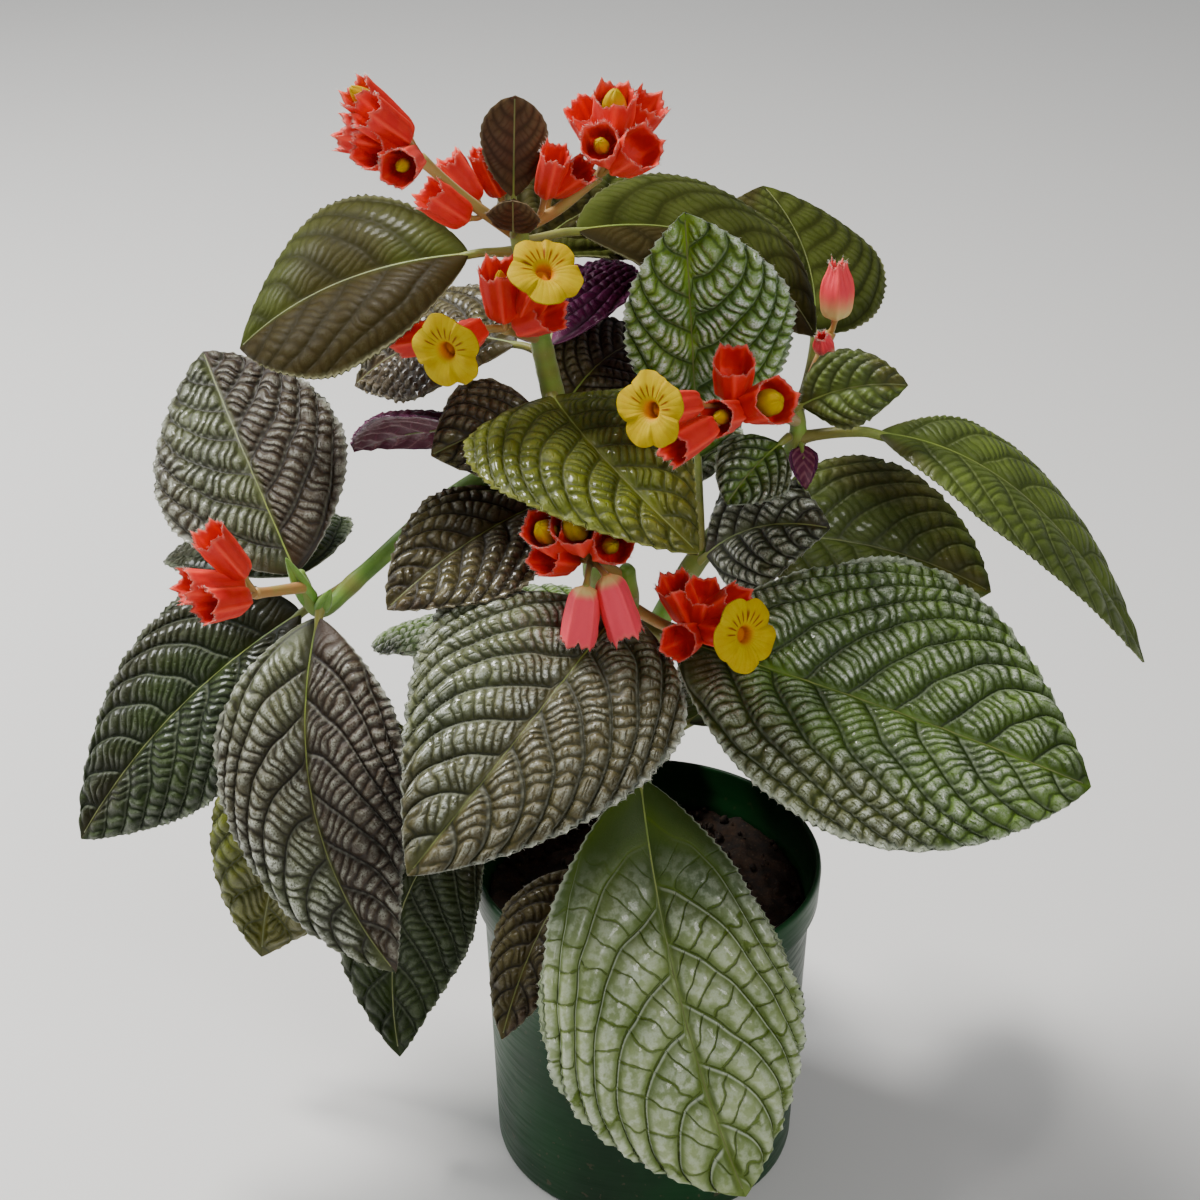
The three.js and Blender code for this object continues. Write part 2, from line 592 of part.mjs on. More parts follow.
/** A body turned round a head's axis, closed by a point at each end of its rings. */
function turnedSolid(form, sides, start, rings, end) {
  const shell = new Shell();
  const circles = rings.map(([height, radiusAt]) => form.ring(shell, sides, () => height, radiusAt));
  for (let i = 0; i + 1 < circles.length; i += 1) {
    shell.band(circles[i], circles[i + 1]);
  }
  shell.startCap(shell.add(form.centre(start)), circles[0]);
  shell.endCap(shell.add(form.centre(end)), circles[circles.length - 1]);
  return shell.solid();
}

/** A yellow bud in its calyx, swollen by a margin when it cuts its own seat. */
function budSolid(form, margin) {
  const radius = BUD_SHARE * form.radius * form.fill;
  const foot = CALYX_FLOOR * form.length;
  const top = form.length * (0.7 + 0.32 * form.fill);
  const rise = top - foot;
  const ring = (share, width) => [foot + share * rise, () => width * radius + margin];
  return turnedSolid(form, BUD_SIDES, foot - margin, [
    [foot + 0.08 * rise - margin, () => 0.6 * radius + margin],
    ring(0.4, 0.95),
    ring(0.7, 1),
    ring(0.93, 0.6),
  ], top + margin);
}

/** An open flower: a tube in the calyx that flares into rounded lobes round a shallow throat. */
function flowerSolid(form, margin) {
  const foot = CALYX_FLOOR * form.length;
  const limb = form.length + 1.6;
  const lobed = (k) => {
    const share = (k % PETAL_POINTS) / PETAL_POINTS;
    const reach = COROLLA_NOTCH + (1 - COROLLA_NOTCH) * Math.sqrt(Math.sin(Math.PI * share));
    return COROLLA_RADIUS * reach + margin;
  };
  return turnedSolid(form, PETALS * PETAL_POINTS, foot - margin, [
    [foot - margin, () => 0.7 * COROLLA_TUBE + margin],
    [limb - 2, () => COROLLA_TUBE + margin],
    [limb - margin, lobed],
    [limb + BLADE_THICKNESS + margin, lobed],
    [limb - 0.4, () => COROLLA_TUBE],
  ], limb - 1.6);
}

const HELD = {
  bud: { solid: budSolid, name: 'bud' },
  flower: { solid: flowerSolid, name: 'flower' },
};

/** The stalks and calyces of one cluster, hollowed where buds and open flowers stand in them. */
function clusterSolid(cluster, forms) {
  const route = cluster.stalk.map(vector);
  const parting = route[route.length - 1];
  const radii = [PEDUNCLE_RADIUS, 0.9 * PEDUNCLE_RADIUS];
  let whole = taperedLimb(new THREE.CatmullRomCurve3(route), radii, PEDUNCLE_SIDES, 3);
  forms.forEach((form) => {
    whole = whole.add(headSolid(form, form.joins ? vector(form.joins) : parting));
  });
  forms.filter((form) => HELD[form.holds]).forEach((form) => {
    whole = whole.subtract(HELD[form.holds].solid(form, SEAT_GAP));
  });
  return largestBody(whole.subtract(stemSeat));
}

/** The radius of the pot's outer wall at a height, below the rim band. */
function potRadius(height) {
  return THREE.MathUtils.lerp(POT_FOOT_RADIUS, POT_TOP_RADIUS, height / POT_HEIGHT);
}

/** The moulded pot: a tapered wall, a thicker band at the rim and drain holes through the floor. */
function potSolid() {
  const bandFoot = POT_HEIGHT - RIM_BAND;
  const inner = (height) => potRadius(height) - WALL;
  const profile = [
    [0, 0],
    [POT_FOOT_RADIUS - 2.5, 0],
    [potRadius(2.5), 2.5],
    [potRadius(bandFoot), bandFoot],
    [RIM_RADIUS - 0.6, bandFoot + 1],
    [RIM_RADIUS, POT_HEIGHT - 2],
    [RIM_RADIUS - 0.9, POT_HEIGHT],
    [RIM_RADIUS - 1.8, POT_HEIGHT - 0.8],
    [inner(bandFoot) + 0.5, bandFoot + 1],
    [inner(bandFoot), bandFoot - 1],
    [inner(FLOOR + 2), FLOOR + 2],
    [inner(FLOOR) - 2, FLOOR],
    [0, FLOOR],
  ].map(([radius, height]) => new THREE.Vector2(radius, height));
  let pot = solidFromGeometry(new THREE.LatheGeometry(profile, POT_SIDES).rotateX(Math.PI / 2));
  for (let k = 0; k < DRAIN_HOLES; k += 1) {
    const angle = (2 * Math.PI * (k + 0.5)) / DRAIN_HOLES;
    const hole = new THREE.CylinderGeometry(
      DRAIN_HOLE_RADIUS, DRAIN_HOLE_RADIUS, 4 * FLOOR, DRAIN_HOLE_SIDES,
    );
    hole.rotateX(Math.PI / 2);
    hole.translate(DRAIN_CIRCLE_RADIUS * Math.cos(angle), DRAIN_CIRCLE_RADIUS * Math.sin(angle), 0);
    pot = pot.subtract(solidFromGeometry(hole));
  }
  return pot;
}

/** Potting mix with a lumpy top and a plain hole round the stem. */
function soilSolid() {
  const shell = new Shell();
  const side = (height) => potRadius(height) - WALL - SEAT_GAP;
  const lump = (radius, angle) => (
    SOIL_RELIEF * Math.sin(0.45 * radius + 3 * angle) * Math.cos(5 * angle - 0.3 * radius)
  );
  const ring = (radius, heightAt) => {
    const points = [];
    for (let k = 0; k < SOIL_SIDES; k += 1) {
      const angle = (2 * Math.PI * k) / SOIL_SIDES;
      points.push(shell.add(new THREE.Vector3(
        radius * Math.cos(angle), radius * Math.sin(angle), heightAt(angle),
      )));
    }
    return points;
  };
  const floor = FLOOR + SEAT_GAP;
  const edge = SOIL_TOP - SOIL_RELIEF - 1;
  const rings = [
    ring(side(floor) - 2.5, () => floor),
    ring(side(floor) - 0.3, () => floor + 2.5),
    ring(side(edge) - 0.3, () => edge),
    ...[40, 28, 15].map((radius) => ring(radius, (angle) => SOIL_TOP + lump(radius, angle))),
  ];
  for (let i = 0; i + 1 < rings.length; i += 1) {
    shell.band(rings[i], rings[i + 1]);
  }
  shell.startCap(shell.add(new THREE.Vector3(0, 0, floor)), rings[0]);
  shell.endCap(shell.add(new THREE.Vector3(0, 0, SOIL_TOP)), rings[rings.length - 1]);
  return largestBody(shell.solid().subtract(stemSeat));
}

const plant = new THREE.Group();

function place(name, solid, finish) {
  const { color, roughness } = FINISHES[finish];
  const material = new THREE.MeshStandardMaterial({ color, roughness, metalness: 0 });
  const mesh = new THREE.Mesh(geometryFromSolid(solid), material);
  mesh.name = name;
  plant.add(mesh);
}

place('pot', potSolid(), 'pot');
place('soil', soilSolid(), 'soil');
place('stem', stemSolid(0), 'stem');
LEAVES.forEach((leaf) => place(leaf.name, leafSolid(leaf), leaf.finish));
CLUSTERS.forEach((cluster) => {
  const forms = cluster.heads.map((head) => new HeadForm(head));
  place(cluster.name, clusterSolid(cluster, forms), 'calyx');
  forms.filter((form) => HELD[form.holds]).forEach((form, index) => {
    const held = HELD[form.holds];
    place(`${cluster.name.replace('flowers', held.name)}_${index + 1}`, held.solid(form, 0), 'corolla');
  });
});

export default plant;
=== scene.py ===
from functools import partial

import bpy
import numpy as np
from mathutils import Color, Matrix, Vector


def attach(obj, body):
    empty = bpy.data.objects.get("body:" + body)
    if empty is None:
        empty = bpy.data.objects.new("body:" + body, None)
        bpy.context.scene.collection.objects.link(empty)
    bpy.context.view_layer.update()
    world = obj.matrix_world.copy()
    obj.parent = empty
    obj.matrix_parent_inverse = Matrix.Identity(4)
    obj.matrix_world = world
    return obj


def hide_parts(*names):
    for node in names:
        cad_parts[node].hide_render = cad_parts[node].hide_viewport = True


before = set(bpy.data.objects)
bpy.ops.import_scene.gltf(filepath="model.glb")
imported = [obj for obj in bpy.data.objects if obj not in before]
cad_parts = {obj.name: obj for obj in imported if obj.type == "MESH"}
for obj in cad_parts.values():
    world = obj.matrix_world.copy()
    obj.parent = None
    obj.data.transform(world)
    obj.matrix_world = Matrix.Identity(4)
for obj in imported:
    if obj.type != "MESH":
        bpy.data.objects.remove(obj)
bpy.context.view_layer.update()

bl_info = {
    "name": "Potted Chrysothemis",
    "version": (1, 0, 0),
    "blender": (4, 5, 0),
    "location": "View3D > Sidebar > Chrysothemis",
    "description": "Quilted toothed leaves, red calyces and yellow flowers on a plant in a nursery pot",
    "category": "Add Mesh",
}

# All sizes are millimetres in the part's own frame and become metres when a mesh is made.
MM = 0.001
SEED = 7

# The camera stands in front of the plant, above its top, and looks down at it.
CAMERA_PLACE = (-13.6, -566.3, 511.4)
CAMERA_PITCH = 30
CAMERA_LENS = 72.66
CAMERA_SENSOR = 36

# The stage, in metres: half the side of the floor, and area lights with their place, side, share of
# the key light's power and colour.
FLOOR_REACH = 3.0
LIGHT_TARGET = (0, 0, 0.2)
LIGHTS = (
    ("key", (-0.5, 0.25, 1.2), 0.3, 1.0, (1.0, 0.98, 0.95)),
    ("window", (-1.1, 0.4, 0.75), 0.45, 0.5, (0.97, 0.99, 1.0)),
    ("front", (0.5, -1.0, 1.0), 0.5, 0.35, (1.0, 0.99, 0.97)),
)
SKY_COLOUR = (0.9, 0.95, 1.0, 1.0)
SKY_STRENGTH = 0.22

# Pot and soil
POT_HEIGHT = 100
RIM_RADIUS = 50
RIM_BAND = 12
WALL = 1.4
FLOOR = 2
POT_TOP_RADIUS = 47.6
POT_FOOT_RADIUS = 44.5
POT_SIDES = 144
DRAIN_HOLES = 5
DRAIN_HOLE_RADIUS = 4
DRAIN_CIRCLE_RADIUS = 32
SOIL_TOP = 87
SOIL_RELIEF = 1.6
SOIL_RINGS = 56
SOIL_SIDES = 150
SOIL_WAVES = ((16, 1.4), (6, 1.0), (2.4, 0.7), (1.1, 0.35))
CRUMBS = 430

# Leaves
BLADE_THICKNESS = 0.55
BASE_FULLNESS = 0.72
TIP_FULLNESS = 0.85
STALK_RADIUS = 0.7
STALK_GIRTH = 0.011
TOOTH = 1.0
TOOTH_PITCH = 2.3
ROWS_PER_TOOTH = 4
COLUMN_STEP = 0.8
VEIN_LEAVE = 0.6
RIB_TIP_RADIUS = 0.22
RIB_SIDES = 12

# A bar of the ladder of cells is parted twice, at shares of its length that two sequences spread.
CELL_STEPS = (0.7549, 0.5698)
PARTINGS = (0.18, 0.52)
PARTING_SPREAD = 0.3

# Flowers
CALYX_LOBES = 5
CALYX_SIDES = 75
CALYX_WALL = 0.35
CALYX_RADIUS = 4.4
CALYX_BELLY = 0.35
CALYX_FLOOR = 0.45
PEDICEL_RADIUS = 0.8
PEDUNCLE_RADIUS = 1.4
BUD_SHARE = 0.62
COROLLA_RADIUS = 9.5
COROLLA_TUBE = 2.2
COROLLA_SIDES = 120
PETALS = 5
PETAL_THICKNESS = 0.35
LOBE_CENTRE = 0.42
THROAT_ROW = 13

# Hairs stand with a short root inside the surface.
CALYX_HAIR = 0.8
MARGIN_HAIR = 0.8
HAIR_RADIUS = 0.035
HAIR_ROOT = 0.15

# The stem and its side shoots: centre line from the foot upwards, radius at foot and top.
SHOOTS = [
    {"points": [[0, 0, 70], [-3, -2, 120], [-8, -4, 160], [-18, -5, 215], [-26, -5, 250], [-35, -1, 297]],
     "radii": [4.8, 2]},
    {"points": [[-4, -3, 128], [-5, -18, 150], [-5, -32, 182], [-7, -38, 216]], "radii": [3.2, 2.2]},
    {"points": [[-7, -4, 152], [4, 5, 178], [21, 9, 205], [38, 6, 229], [37, 6, 241]], "radii": [3.2, 1.8]},
    {"points": [[-22, -5, 236], [-50, -9, 222], [-76, -14, 200], [-87, -20, 193], [-92, -19, 204]],
     "radii": [2.8, 1.6]},
]

# Unfolding leaves at the end of the left shoot
SPROUTS = [
    {"from": [-88, -20, 193], "tip": [-94.5, -22, 209], "width": 5},
    {"from": [-87, -20, 192], "tip": [-83, -26, 202], "width": 4},
]

# Each leaf runs from a point of its shoot to its tip. The arch is how far the middle of the midrib
# lies from the straight line between them, and face is where the upper side looks, as azimuth and
# elevation in degrees. Widest is where along the blade its width is greatest, blunt how full it is
# beyond that, and lean shifts width from one half to the other. The stalk is a share of the length
# and girth scales its thickness. The halves fold up by an angle in degrees and cup back down.
# The side veins leave the midrib and bend towards the tip. The ladder is the pitch of the cross
# veins, relief the height of the swollen panels, cells that of the cells on them and partings how
# deep the cells are parted along a bar. The smooth share of the blade at its base is nearly flat.
# The dull half of a blade, -1 or 1, has the second tone, partly its own brown and partly painted shade, and
# little gloss and painted glint. The look names the paints where they differ from the finish, and detail
# scales the number of rows and columns.
LEAF_DEFAULTS = {
    "widest": 0.42, "blunt": TIP_FULLNESS, "lean": 0, "stalk": 0.12, "girth": 1, "fold": 18, "cup": 0.35,
    "veins": 8, "bend": 0.8, "ladder": 2.8, "relief": 1.2, "cells": 0.5, "partings": 0.5, "smooth": 0.05,
    "look": None, "gloss": 1, "dull": 0, "detail": 1.0,
}


def leaf(name, start, tip, arch, face, width, finish, **options):
    """One leaf of the list, with the defaults for what it leaves open."""
    return {**LEAF_DEFAULTS, "name": f"leaf_{name}", "start": start, "tip": tip, "arch": arch, "face": face,
            "width": width, "finish": finish, **options}


LEAVES = [
    leaf("right_large", [-4, -34, 196], [110, -62, 166], [1, -6, 5], [-80, 62], 88, "green", widest=0.5,
         lean=0.1, stalk=0.08, veins=9, bend=0.9, relief=2.1, partings=0.7),
    leaf("centre", [-6, -37, 207], [-60, -94, 162], [4, -4, 8], [-100, 55], 73, "bronze", widest=0.34,
         lean=-0.08, stalk=0.05, look="silver", dull=1, bend=0.9, relief=1.7, partings=0.8, gloss=1.2),
    leaf("front_low", [-4, -24, 158], [25, -90, 54], [-5, -13, 7], [-90, 35], 70, "pale", widest=0.56,
         lean=-0.1, stalk=0.1, veins=7, ladder=6, relief=2.8, smooth=0.3, bend=1.5, partings=0.25,
         gloss=0.8),
    leaf("left_hanging", [-86, -20, 196], [-67, -66, 110], [-11, -10, 2], [-115, 35], 56, "bronze",
         widest=0.36, stalk=0.04, dull=1, bend=1.2, look="smoky", relief=1.4),
    leaf("left_far", [-79, -15, 198], [-158, -16, 117], [-5, 0, 6], [-120, 50], 60, "green", widest=0.4,
         stalk=0.14, gloss=0.8, look="shade"),
    leaf("left_upper", [-91, -19, 199], [-123, 46, 237], [-1, -4, 6], [-100, 45], 54, "bronze", stalk=0.05,
         veins=7, dull=-1, look="smoky", relief=1.4, gloss=0.4),
    leaf("left_back", [-89, -18, 196], [-128, 60, 168], [-1, 8, 6], [120, 60], 54, "green", detail=0.7,
         look="shade"),
    leaf("top_left", [-34, -1, 285], [-107, 10, 254], [-4, -5, 9], [-80, 60], 54, "green", widest=0.5,
         stalk=0.14, veins=6, relief=0.3, gloss=0.1, cells=0.12, look="dusky", dull=1),
    leaf("top_right", [-34, -1, 287], [43, 20, 253], [8, 9, 12], [-60, 70], 54, "green", widest=0.45,
         stalk=0.14, veins=7, relief=0.3, gloss=0.2, cells=0.12, look="dusky", dull=-1),
    leaf("top_back", [-33, -1, 281], [1, 58, 278], [-4, 4, 2], [-80, 60], 42, "green", stalk=0.14,
         detail=0.8, look="dusky", gloss=0.3),
    leaf("young_tall", [-35, -1, 295], [-34, -4, 326], [0, -1, 0], [-90, 10], 17, "bronze", widest=0.62,
         blunt=0.55, stalk=0.15, veins=6, ladder=1.6, relief=0.3, gloss=0.2, cells=0.12, look="russet"),
    leaf("young_short", [-35, -2, 290], [-34.5, -16, 304], [0, -1, -1], [-90, 30], 13.5, "bronze",
         widest=0.6, blunt=0.55, stalk=0.15, veins=6, ladder=1.6, relief=0.3, gloss=0.2, cells=0.12,
         look="russet"),
    leaf("centre_young", [-26, -6, 249], [10, -60, 232], [-6, -2, 6], [-100, 80], 60, "young", widest=0.28,
         stalk=0.04, relief=0.9, gloss=0.7, cells=0.35),
    leaf("centre_left", [-25, -5, 243], [-56, -22, 239], [1, -2, 3], [-100, 50], 32, "bronze", veins=6,
         detail=0.8),
    leaf("back_left_high", [-28, -4, 259], [-80, 30, 234], [-2, 2, 8], [-90, 60], 38, "bronze", detail=0.8),
    leaf("back_right_high", [-27, -4, 254], [-13, 49, 262], [-3, 1, 5], [90, 45], 42, "bronze", stalk=0.14,
         detail=0.8, look="purple", gloss=0.3),
    leaf("back_left_mid", [-22, -5, 232], [-82, 36, 212], [0, 3, 5], [95, 50], 46, "bronze", stalk=0.14,
         detail=0.7, look="purple", gloss=0.3),
    leaf("inner_left", [-19, -5, 220], [-67, -42, 206], [0, -2, 6], [-110, 60], 40, "bronze", stalk=0.2,
         veins=7),
    leaf("right_upright", [14, 8, 193], [7, -8, 298], [0, -5, 4], [-88, 12], 44, "green", widest=0.55,
         lean=-0.22, stalk=0.3, veins=7, gloss=1.3, look="glinting", partings=0.3, relief=1.8),
    leaf("right_long", [38, 6, 230], [133, -10, 171], [3, -3, 25], [-25, 60], 42, "green", widest=0.45,
         stalk=0.2, look="olive", gloss=0.3, relief=0.5, cells=0.2, partings=0.4, girth=1.4),
    leaf("right_back", [38, 7, 237], [33, 92, 268], [9, 0, 3], [-50, 45], 56, "bronze", widest=0.55,
         stalk=0.3, gloss=0.2, relief=0.45, cells=0.15, look="dusky"),
    leaf("right_small", [37, 5, 239], [65, -4, 250], [-1, -3, 4], [-75, 30], 21, "green", stalk=0.06,
         veins=6, ladder=2, look="olive", gloss=0.3, cells=0.2),
    leaf("right_inner", [36, 5, 231], [19, -14, 221], [-1, -2, 2], [-80, 50], 22, "green", veins=6),
    leaf("right_silver", [12, 8, 190], [46, -14, 214], [-3, -4, 8], [-80, 50], 36, "bronze", veins=6,
         look="smoky", gloss=1.3),
    leaf("right_behind", [18, 10, 198], [94, 12, 180], [2, 3, 5], [-80, 40], 52, "green", detail=0.8,
         look="olive", gloss=0.5, cells=0.2, relief=0.8),
    leaf("right_purple", [39, 5, 229], [40, -6, 221], [0, 0, 2], [90, -20], 8, "bronze", veins=5,
         ladder=1.6, relief=0.3, look="purple", gloss=0.3),
    leaf("back_right_mid", [-24, -3, 241], [0, 36, 245], [-1, 1, 4], [-70, 50], 30, "bronze", detail=0.8),
    leaf("back_centre", [-14, -5, 195], [10, 88, 200], [-2, 0, 12], [90, 60], 62, "green", stalk=0.16,
         detail=0.65),
    leaf("back_left", [-8, -4, 160], [-78, 72, 128], [-3, 3, 13], [130, 60], 62, "green", stalk=0.18,
         detail=0.65),
    leaf("back_right", [-4, -3, 132], [76, 66, 112], [1, 3, 16], [50, 60], 64, "green", stalk=0.18,
         detail=0.65),
    leaf("back_low", [-2, -1, 112], [-14, 98, 72], [0, 7, 18], [90, 60], 58, "green", stalk=0.3,
         detail=0.65),
    leaf("low_left", [-6, -3, 146], [-117, 20, 47], [-23, 6, 24], [-90, 40], 60, "young", widest=0.55,
         lean=0.12, stalk=0.35, detail=0.8, gloss=0.6),
    leaf("low_hanging", [-4, -3, 122], [-73, -12, 35], [-22, -5, 31], [-105, 35], 46, "green", widest=0.5,
         stalk=0.3, detail=0.8, gloss=0.2, look="shade"),
    leaf("low_front", [-2, -3, 116], [-40, -62, 84], [-4, -6, 13], [-115, 50], 26, "bronze", stalk=0.35,
         detail=0.8, gloss=0.4),
]

# Each cluster has a stalk from the stem to where its flower stalks part, and heads that run from
# the foot of a calyx to its mouth. A head may part from the stalk elsewhere, at joins, and holds a
# bud, an open flower or nothing yet. The fill of a bud is how far it has grown. A shut calyx narrows
# to its mouth, a blush turns it pink and pale is the share of its height that is yellow-green.


def head(foot, mouth, holds="nothing", **options):
    """One flower head of a cluster, with the defaults for what it leaves open."""
    return {"foot": foot, "mouth": mouth, "holds": holds, "radius": CALYX_RADIUS, "fill": 1, "joins": None,
            "blush": 0, "shut": 0, "pale": 0.16, **options}


CLUSTERS = [
    {"name": "flowers_top_left", "stalk": [[-35, -1, 290], [-47, -5, 301], [-57, -8, 312]], "heads": [
        head([-59, -9, 317], [-72, -13, 331], "bud"),
        head([-60, -12, 316], [-76, -14, 321]),
        head([-59, -14, 318], [-69, -19, 328]),
        head([-58, -14, 314], [-61, -27, 316], "bud", fill=0.6),
        head([-60, -10, 314], [-69, -22, 319]),
        head([-46, -5, 295], [-56, -9, 304], joins=[-42, -3, 296]),
        head([-44, 2, 297], [-52, 3, 308], joins=[-41, -3, 295]),
        head([-38, 3, 298], [-43, 2, 311], radius=3.4, joins=[-37, -1, 292]),
    ]},
    {"name": "flowers_top_right", "stalk": [[-35, -1, 290], [-24, -3, 297], [-14, -4, 306]], "heads": [
        head([-11, -4, 313], [-10, -9, 329], "bud", radius=5),
        head([-12, -10, 313], [-14, -21, 321], "bud", fill=0.7),
        head([-9, -2, 312], [-1, -6, 326]),
        head([-10, -8, 310], [-3, -19, 319], radius=5),
        head([-13, 0, 311], [-18, -5, 324]),
        head([-27, -5, 301], [-24, -11, 315], radius=3.6, joins=[-29, -2, 293]),
        head([-26, -2, 301], [-17, -9, 310], radius=3.6, joins=[-26, -2, 295]),
    ]},
    {"name": "flowers_upper", "stalk": [[-29, -4, 263], [-33, -10, 267], [-37, -14, 270]], "heads": [
        head([-37, -16, 273], [-38, -19, 289], "bud", radius=5, fill=0.6),
        head([-32, -16, 275], [-27, -25, 289], "flower"),
        head([-34, -14, 271], [-25, -21, 278], radius=5),
        head([-43, -18, 272], [-50, -31, 272], "flower"),
        head([-52, -12, 268], [-64, -7, 264]),
    ]},
    {"name": "flowers_right", "stalk": [[38, 6, 235], [32, -7, 243], [24, -18, 250]], "heads": [
        head([19, -21, 255], [19, -27, 268], radius=5),
        head([23, -22, 252], [30, -32, 259], "bud", radius=5.6),
        head([20, -25, 252], [14, -36, 256], "bud", fill=0.7),
        head([14, -35, 254], [3, -47, 253]),
        head([10, -34, 259], [-1, -48, 264], "flower"),
    ]},
    {"name": "flowers_front", "stalk": [[-7, -37, 212], [-12, -40, 217], [-16, -40, 219]], "heads": [
        head([-23, -42, 224], [-28, -52, 235], "bud", radius=5),
        head([-18, -44, 226], [-20, -54, 238], "bud", radius=5.8),
        head([-13, -44, 224], [-10, -55, 232], "bud", radius=4.8, fill=0.7),
        head([-20, -40, 219], [-28, -49, 225]),
        head([-17, -55, 220], [-19, -57, 205], blush=1, pale=0.34),
        head([-12, -53, 222], [-7, -56, 206], blush=1, pale=0.34),
    ]},
    {"name": "flowers_front_right", "stalk": [[-6, -35, 203], [3, -40, 200], [9, -43, 200]], "heads": [
        head([9, -46, 205], [4, -48, 218]),
        head([11, -46, 205], [12, -51, 217]),
        head([12, -48, 206], [21, -54, 216]),
        head([10, -48, 202], [5, -60, 207]),
        head([12, -50, 205], [21, -61, 210], "flower"),
    ]},
    {"name": "flowers_left", "stalk": [[-90, -20, 200], [-95, -27, 203], [-101, -34, 206]], "heads": [
        head([-103, -36, 212], [-111, -40, 227]),
        head([-103, -36, 209], [-118, -44, 214]),
        head([-102, -38, 207], [-112, -49, 211]),
    ]},
    {"name": "flowers_right_late", "stalk": [[38, 6, 239], [42, 10, 247], [46, 11, 258]], "heads": [
        head([47, 10, 262], [47, 11, 278], radius=3.8, blush=0.6, shut=1, pale=0.62),
        head([45, 9, 253], [43, 5, 260], radius=2.4, joins=[44, 11, 252], blush=0.6, shut=1, pale=0.62),
    ]},
]


def unit(vectors):
    return vectors / np.linalg.norm(vectors, axis=-1, keepdims=True)


def facing(azimuth, elevation):
    """Unit vector along an azimuth (from +X towards +Y) and an elevation, in degrees."""
    a, e = np.radians([azimuth, elevation])
    return np.array([np.cos(e) * np.cos(a), np.cos(e) * np.sin(a), np.sin(e)])


def turns(sides):
    """Angles of the sides of a ring, in radians."""
    return np.linspace(0, 2 * np.pi, sides, endpoint=False)


def ease(values, low, high):
    """0 below low, 1 above high and a smooth step between them."""
    share = np.clip((values - low) / (high - low), 0, 1)
    return share * share * (3 - 2 * share)


def cell_noise(cell, seed):
    """A fixed random number from 0 to 1 for each whole number."""
    mixed = np.sin(cell * 127.1 + seed * 311.7) * 43758.5453
    return mixed - np.floor(mixed)


def smooth_noise(u, v, seed):
    """Smooth noise from -1 to 1 over a plane, with bumps about one unit wide."""
    corner_u, corner_v = np.floor(u), np.floor(v)
    fu, fv = ease(u - corner_u, 0, 1), ease(v - corner_v, 0, 1)

    def corner(du, dv):
        return cell_noise((corner_u + du) + 57 * (corner_v + dv), seed)

    low = corner(0, 0) * (1 - fu) + corner(1, 0) * fu
    high = corner(0, 1) * (1 - fu) + corner(1, 1) * fu
    return 2 * (low * (1 - fv) + high * fv) - 1


def smooth_route(points, shares):
    """Points at shares of a centripetal Catmull-Rom curve through the given points."""
    points = np.array(points, float)
    padded = np.vstack([2 * points[0] - points[1], points, 2 * points[-1] - points[-2]])
    route = []
    for place in np.asarray(shares) * (len(points) - 1):
        i = min(int(place), len(points) - 2)
        w = place - i
        p0, p1, p2, p3 = padded[i:i + 4]
        d0, d1, d2 = (max(np.linalg.norm(b - a), 1e-6) ** 0.5 for a, b in ((p0, p1), (p1, p2), (p2, p3)))
        leave = ((p1 - p0) / d0 - (p2 - p0) / (d0 + d1) + (p2 - p1) / d1) * d1
        arrive = ((p2 - p1) / d1 - (p3 - p1) / (d1 + d2) + (p3 - p2) / d2) * d1
        route.append(p1 + leave * w + (3 * (p2 - p1) - 2 * leave - arrive) * w ** 2
                     + (2 * (p1 - p2) + leave + arrive) * w ** 3)
    return np.array(route)


def carried_frames(route):
    """Directions along a route and two across it that don't twist about it."""
    along = unit(np.gradient(route, axis=0))
    helper = np.array([1.0, 0, 0]) if abs(along[0][0]) < 0.8 else np.array([0, 0, 1.0])
    aside = []
    for direction in along:
        helper = unit(helper - (helper @ direction) * direction)
        aside.append(helper)
    aside = np.array(aside)
    return along, aside, np.cross(along, aside)


